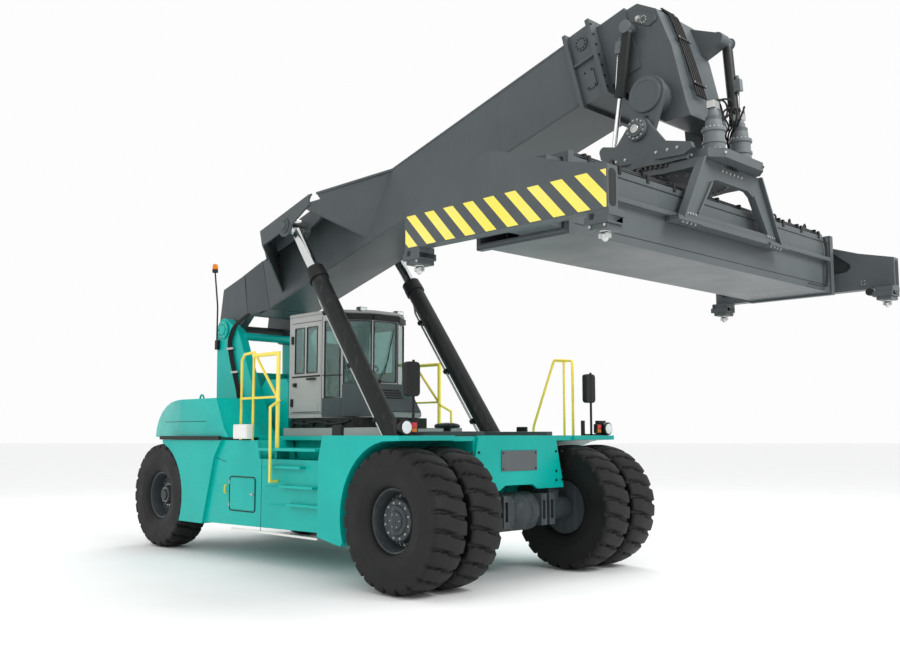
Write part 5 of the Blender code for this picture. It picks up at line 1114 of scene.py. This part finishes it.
# ---------------------------------------------------------------- tower, hood and counterweight trim
# Three hoses climb each tower plate in clamps and feed the boom. The cast counterweight has a machined
# seam, a lifting eye and grey hitch bolts; the beacon is an amber lens on a black base.
tower_hoses, clamps = [], []
for side in (-1, 1):
    y = side * 0.775
    for k in range(3):
        s = 0.045 * k
        tower_hoses.append(swept([(-5.25 + s, y, 1.98), (-5.30 + s, y, 2.45), (-5.52 + s, y, 2.95),
                                  (-5.66 + s, y, 3.35), (-5.52 + s, y, 3.62),
                                  (-5.20 + s, side * 0.70, 3.80)], 0.015, 8, 0.8))
    for x, z in ((-5.26, 2.30), (-5.46, 2.85), (-5.61, 3.25)):
        clamps.append(block(x - 0.05, x + 0.15, y - side * 0.03, y + side * 0.022, z - 0.018, z + 0.018))
finished_piece("tower_hoses", *together(*tower_hoses), hose_black, "truck", "black_paint")
finished_piece("tower_clamps", *together(*clamps), plated_steel, "truck", "bright_steel", bevel=0.003)
pin_covers, cover_screws = [], []
for side in (-1, 1):
    at = Vector((-5.836, side * 0.75, 3.587))
    pin_covers.append(turned([(0.0, 0.15), (0.016, 0.15), (0.020, 0.142), (0.020, 0.09), (0.040, 0.085),
                              (0.040, 0)], at, (0, side, 0), 36))
    cover_screws.append(circle_of(8, at + Vector((0, side * 0.02, 0)), (0, side, 0), 0.118,
                                  lambda p: bolt(p, (0, side, 0), 0.024)))
finished_piece("pivot_covers", *together(*pin_covers), turquoise, "truck", "teal_paint", bevel=0.002)
finished_piece("pivot_cover_bolts", *together(*cover_screws), plated_steel, "truck", "bright_steel")
seam = [swept([(-4.50, side * 1.812, 2.02), (-5.75, side * 1.812, 2.02)], 0.005, 6) for side in (-1, 1)]
seam += [block(-6.15, -4.32, side * 1.66, side * 1.70, 1.742, 1.80)
         for side in (-1, 1)]
finished_piece("counterweight_seams", *together(*seam), black_enamel_and_shade, "truck", "black_paint")
eyes = []
for side in (-1, 1):
    ring = [(-5.709 + 0.055 * math.cos(math.radians(t)), side * 1.2,
             2.415 + 0.055 * math.sin(math.radians(t))) for t in range(0, 391, 30)]
    eyes += [swept(ring, 0.016, 8), turned([(-0.09, 0.05), (0.0, 0.045), (0.006, 0.0)],
                                           (-5.709, side * 1.2, 2.355), (0, 0, 1), 20)]
finished_piece("lifting_eyes", *together(*eyes), turquoise, "truck", "teal_paint")
hood_box = truck_box("engine_hood")
# The black strips on the hood top stand for its louvre slots: painted shade.
hood_slot_shade = []
for i in range(9):
    x = hood_box[0][0] + 0.25 + i * 0.075
    hood_slot_shade.append(cuboid((x, -0.42, hood_box[1][2] - 0.002), (x + 0.03, 0.42, hood_box[1][2] + 0.003)))
finished_piece("hood_louvre_shade", *together(*hood_slot_shade), black_enamel_and_shade, "truck", "black_paint")
lens_at = Vector((-6.11, -0.78, 4.62))
finished_piece("beacon_lens", *turned([(0.035, 0.045), (0.04, 0.048), (0.10, 0.046), (0.125, 0.036),
                                       (0.135, 0.0)], lens_at, (0, 0, 1), 24),
               amber_acrylic, "truck", "black_paint")
pole_y = lens_at.y
mast = together(turned([(-0.02, 0.0), (-0.02, 0.05), (0.034, 0.05), (0.034, 0.0)], lens_at, (0, 0, 1), 24),
                swept([(-6.00, pole_y, 3.28), (-6.00, pole_y, 4.00), (-6.11, pole_y, 4.61)], 0.014, 10,
                      0.2),
                cuboid((-6.03, pole_y - 0.02, 3.26), (-5.95, pole_y + 0.0297, 3.42)))
finished_piece("beacon_mast", *mast, black_enamel_and_shade, "truck", "black_paint", replaces=("beacon",))

# ---------------------------------------------------------------- fenders, lamps, mirrors and front deck
# Round work lamps and red-amber side markers on the fender corners, mirrors on plated poles, a mushroom
# intake and a plain grey plate on the front panel.
red_acrylic, _, _ = new_material("red_acrylic", "#D0202A", 0.18, Coat_Weight=0.6)
lamp_black, lamp_lens, lamp_red, lamp_amber = [], [], [], []
for side in (-1, 1):
    at = Vector((0.10, side * 1.925, 1.905))
    lamp_black.append(turned([(-0.07, 0.0), (-0.07, 0.045), (0.0, 0.088), (0.055, 0.092), (0.06, 0.080)],
                             at, (1, 0, 0), 32))
    lamp_lens.append(turned([(0.05, 0.078), (0.066, 0.070), (0.072, 0.0)], at, (1, 0, 0), 32))
    lamp_black.append(block(0.05, 0.10, at.y - side * 0.10, at.y - side * 0.21, 1.84, 1.97))
    low, high = sorted((at.y - side * 0.115, at.y - side * 0.195))
    lamp_red.append(cuboid((0.10, low, 1.90), (0.118, high, 1.96)))
    lamp_amber.append(cuboid((0.10, low, 1.85), (0.118, high, 1.897)))
    lamp_black.append(swept([(-0.05, side * 1.60, 1.80), (-0.05, side * 1.60, 2.02)], 0.03, 8))
finished_piece("fender_lamps", *together(*lamp_black), black_enamel_and_shade, "truck", "black_paint", bevel=0.003)
finished_piece("fender_lamp_lenses", *together(*lamp_lens), lamp_glass, "truck")
finished_piece("marker_red", *together(*lamp_red), red_acrylic, "truck", "black_paint", bevel=0.004)
finished_piece("marker_amber", *together(*lamp_amber), amber_acrylic, "truck", "black_paint", bevel=0.004)
mirrors = []
for side in (-1, 1):
    y0, y1 = sorted((side * 1.595, side * 1.805))
    mirrors.append(plate(rounded(y0, y1, 2.27, 2.68, 0.05), -0.055, 0.030, axis="x"))
    low, high = sorted((side * 1.735, side * 1.785))
    mirrors.append(cuboid((-1.44, low, 1.56), (-1.24, high, 1.94)))
finished_piece("mirror_cases", *together(*mirrors), black_enamel_and_shade, "truck", "black_paint", bevel=0.014)
front_rails = []
for side in (1,):
    y = 1.62
    front_rails.append(swept([(-0.24, y, 1.80), (-0.24, y, 2.88), (-0.58, y, 2.91), (-0.98, y, 1.95),
                              (-1.00, y, 1.80)], 0.019, 10, 0.15))
    front_rails.append(swept([(-0.40, y, 1.80), (-0.40, y, 2.88)], 0.017, 10))
    front_rails.append(swept([(-0.58, y, 2.90), (-0.60, y + 0.30, 2.90)], 0.017, 10))
finished_piece("front_rail", *together(*front_rails), rail_yellow, "truck", "yellow_paint")
intake = [turned([(0, 0.05), (0.075, 0.05)], (-0.70, -0.45, 1.84), (0, 0, 1), 20),
          turned([(0.06, 0.06), (0.07, 0.165), (0.095, 0.172), (0.12, 0.150), (0.135, 0.08), (0.138, 0.0)],
                 (-0.70, -0.45, 1.84), (0, 0, 1), 32)]
finished_piece("intake_cap", *together(*intake), black_enamel_and_shade, "truck", "black_paint")
panel_box = truck_box("front_panel")
front_x = panel_box[1][0]
blank = [cuboid((front_x, -0.34, 1.36), (front_x + 0.014, 0.34, 1.62))]
finished_piece("front_blank_plate", *together(*blank), silver_grey, "truck", "cab_paint", bevel=0.006)
front_bolts = [bolt((front_x, y, z), (1, 0, 0), 0.030) for y in (-0.86, -0.74, 0.74, 0.86) for z in (1.10,
                                                                                                     1.22,
                                                                                                     1.34,
                                                                                                     1.60)]
front_bolts += [bolt((front_x + 0.014, y, z), (1, 0, 0), 0.02) for y in (-0.31, 0.31) for z in (1.39, 1.59)]
finished_piece("front_bolts", *together(*front_bolts), black_enamel_and_shade, "truck", "black_paint")
deck_edge = []
for y in (-0.66, 0.66):
    deck_edge.append(cuboid((-1.58, y - 0.06, 1.800), (0.12, y + 0.06, 1.862)))
finished_piece("deck_rails", *together(*deck_edge), nose_grey, "truck", "cab_paint", bevel=0.006)
deck_edge = []
for i in range(14):
    x = -2.05 + 0.14 * i
    deck_edge.append(cuboid((x, -0.60, 1.800), (x + 0.008, 0.60, 1.803)))
finished_piece("deck_plank_lines", *together(*deck_edge), black_enamel_and_shade, "truck", "black_paint")
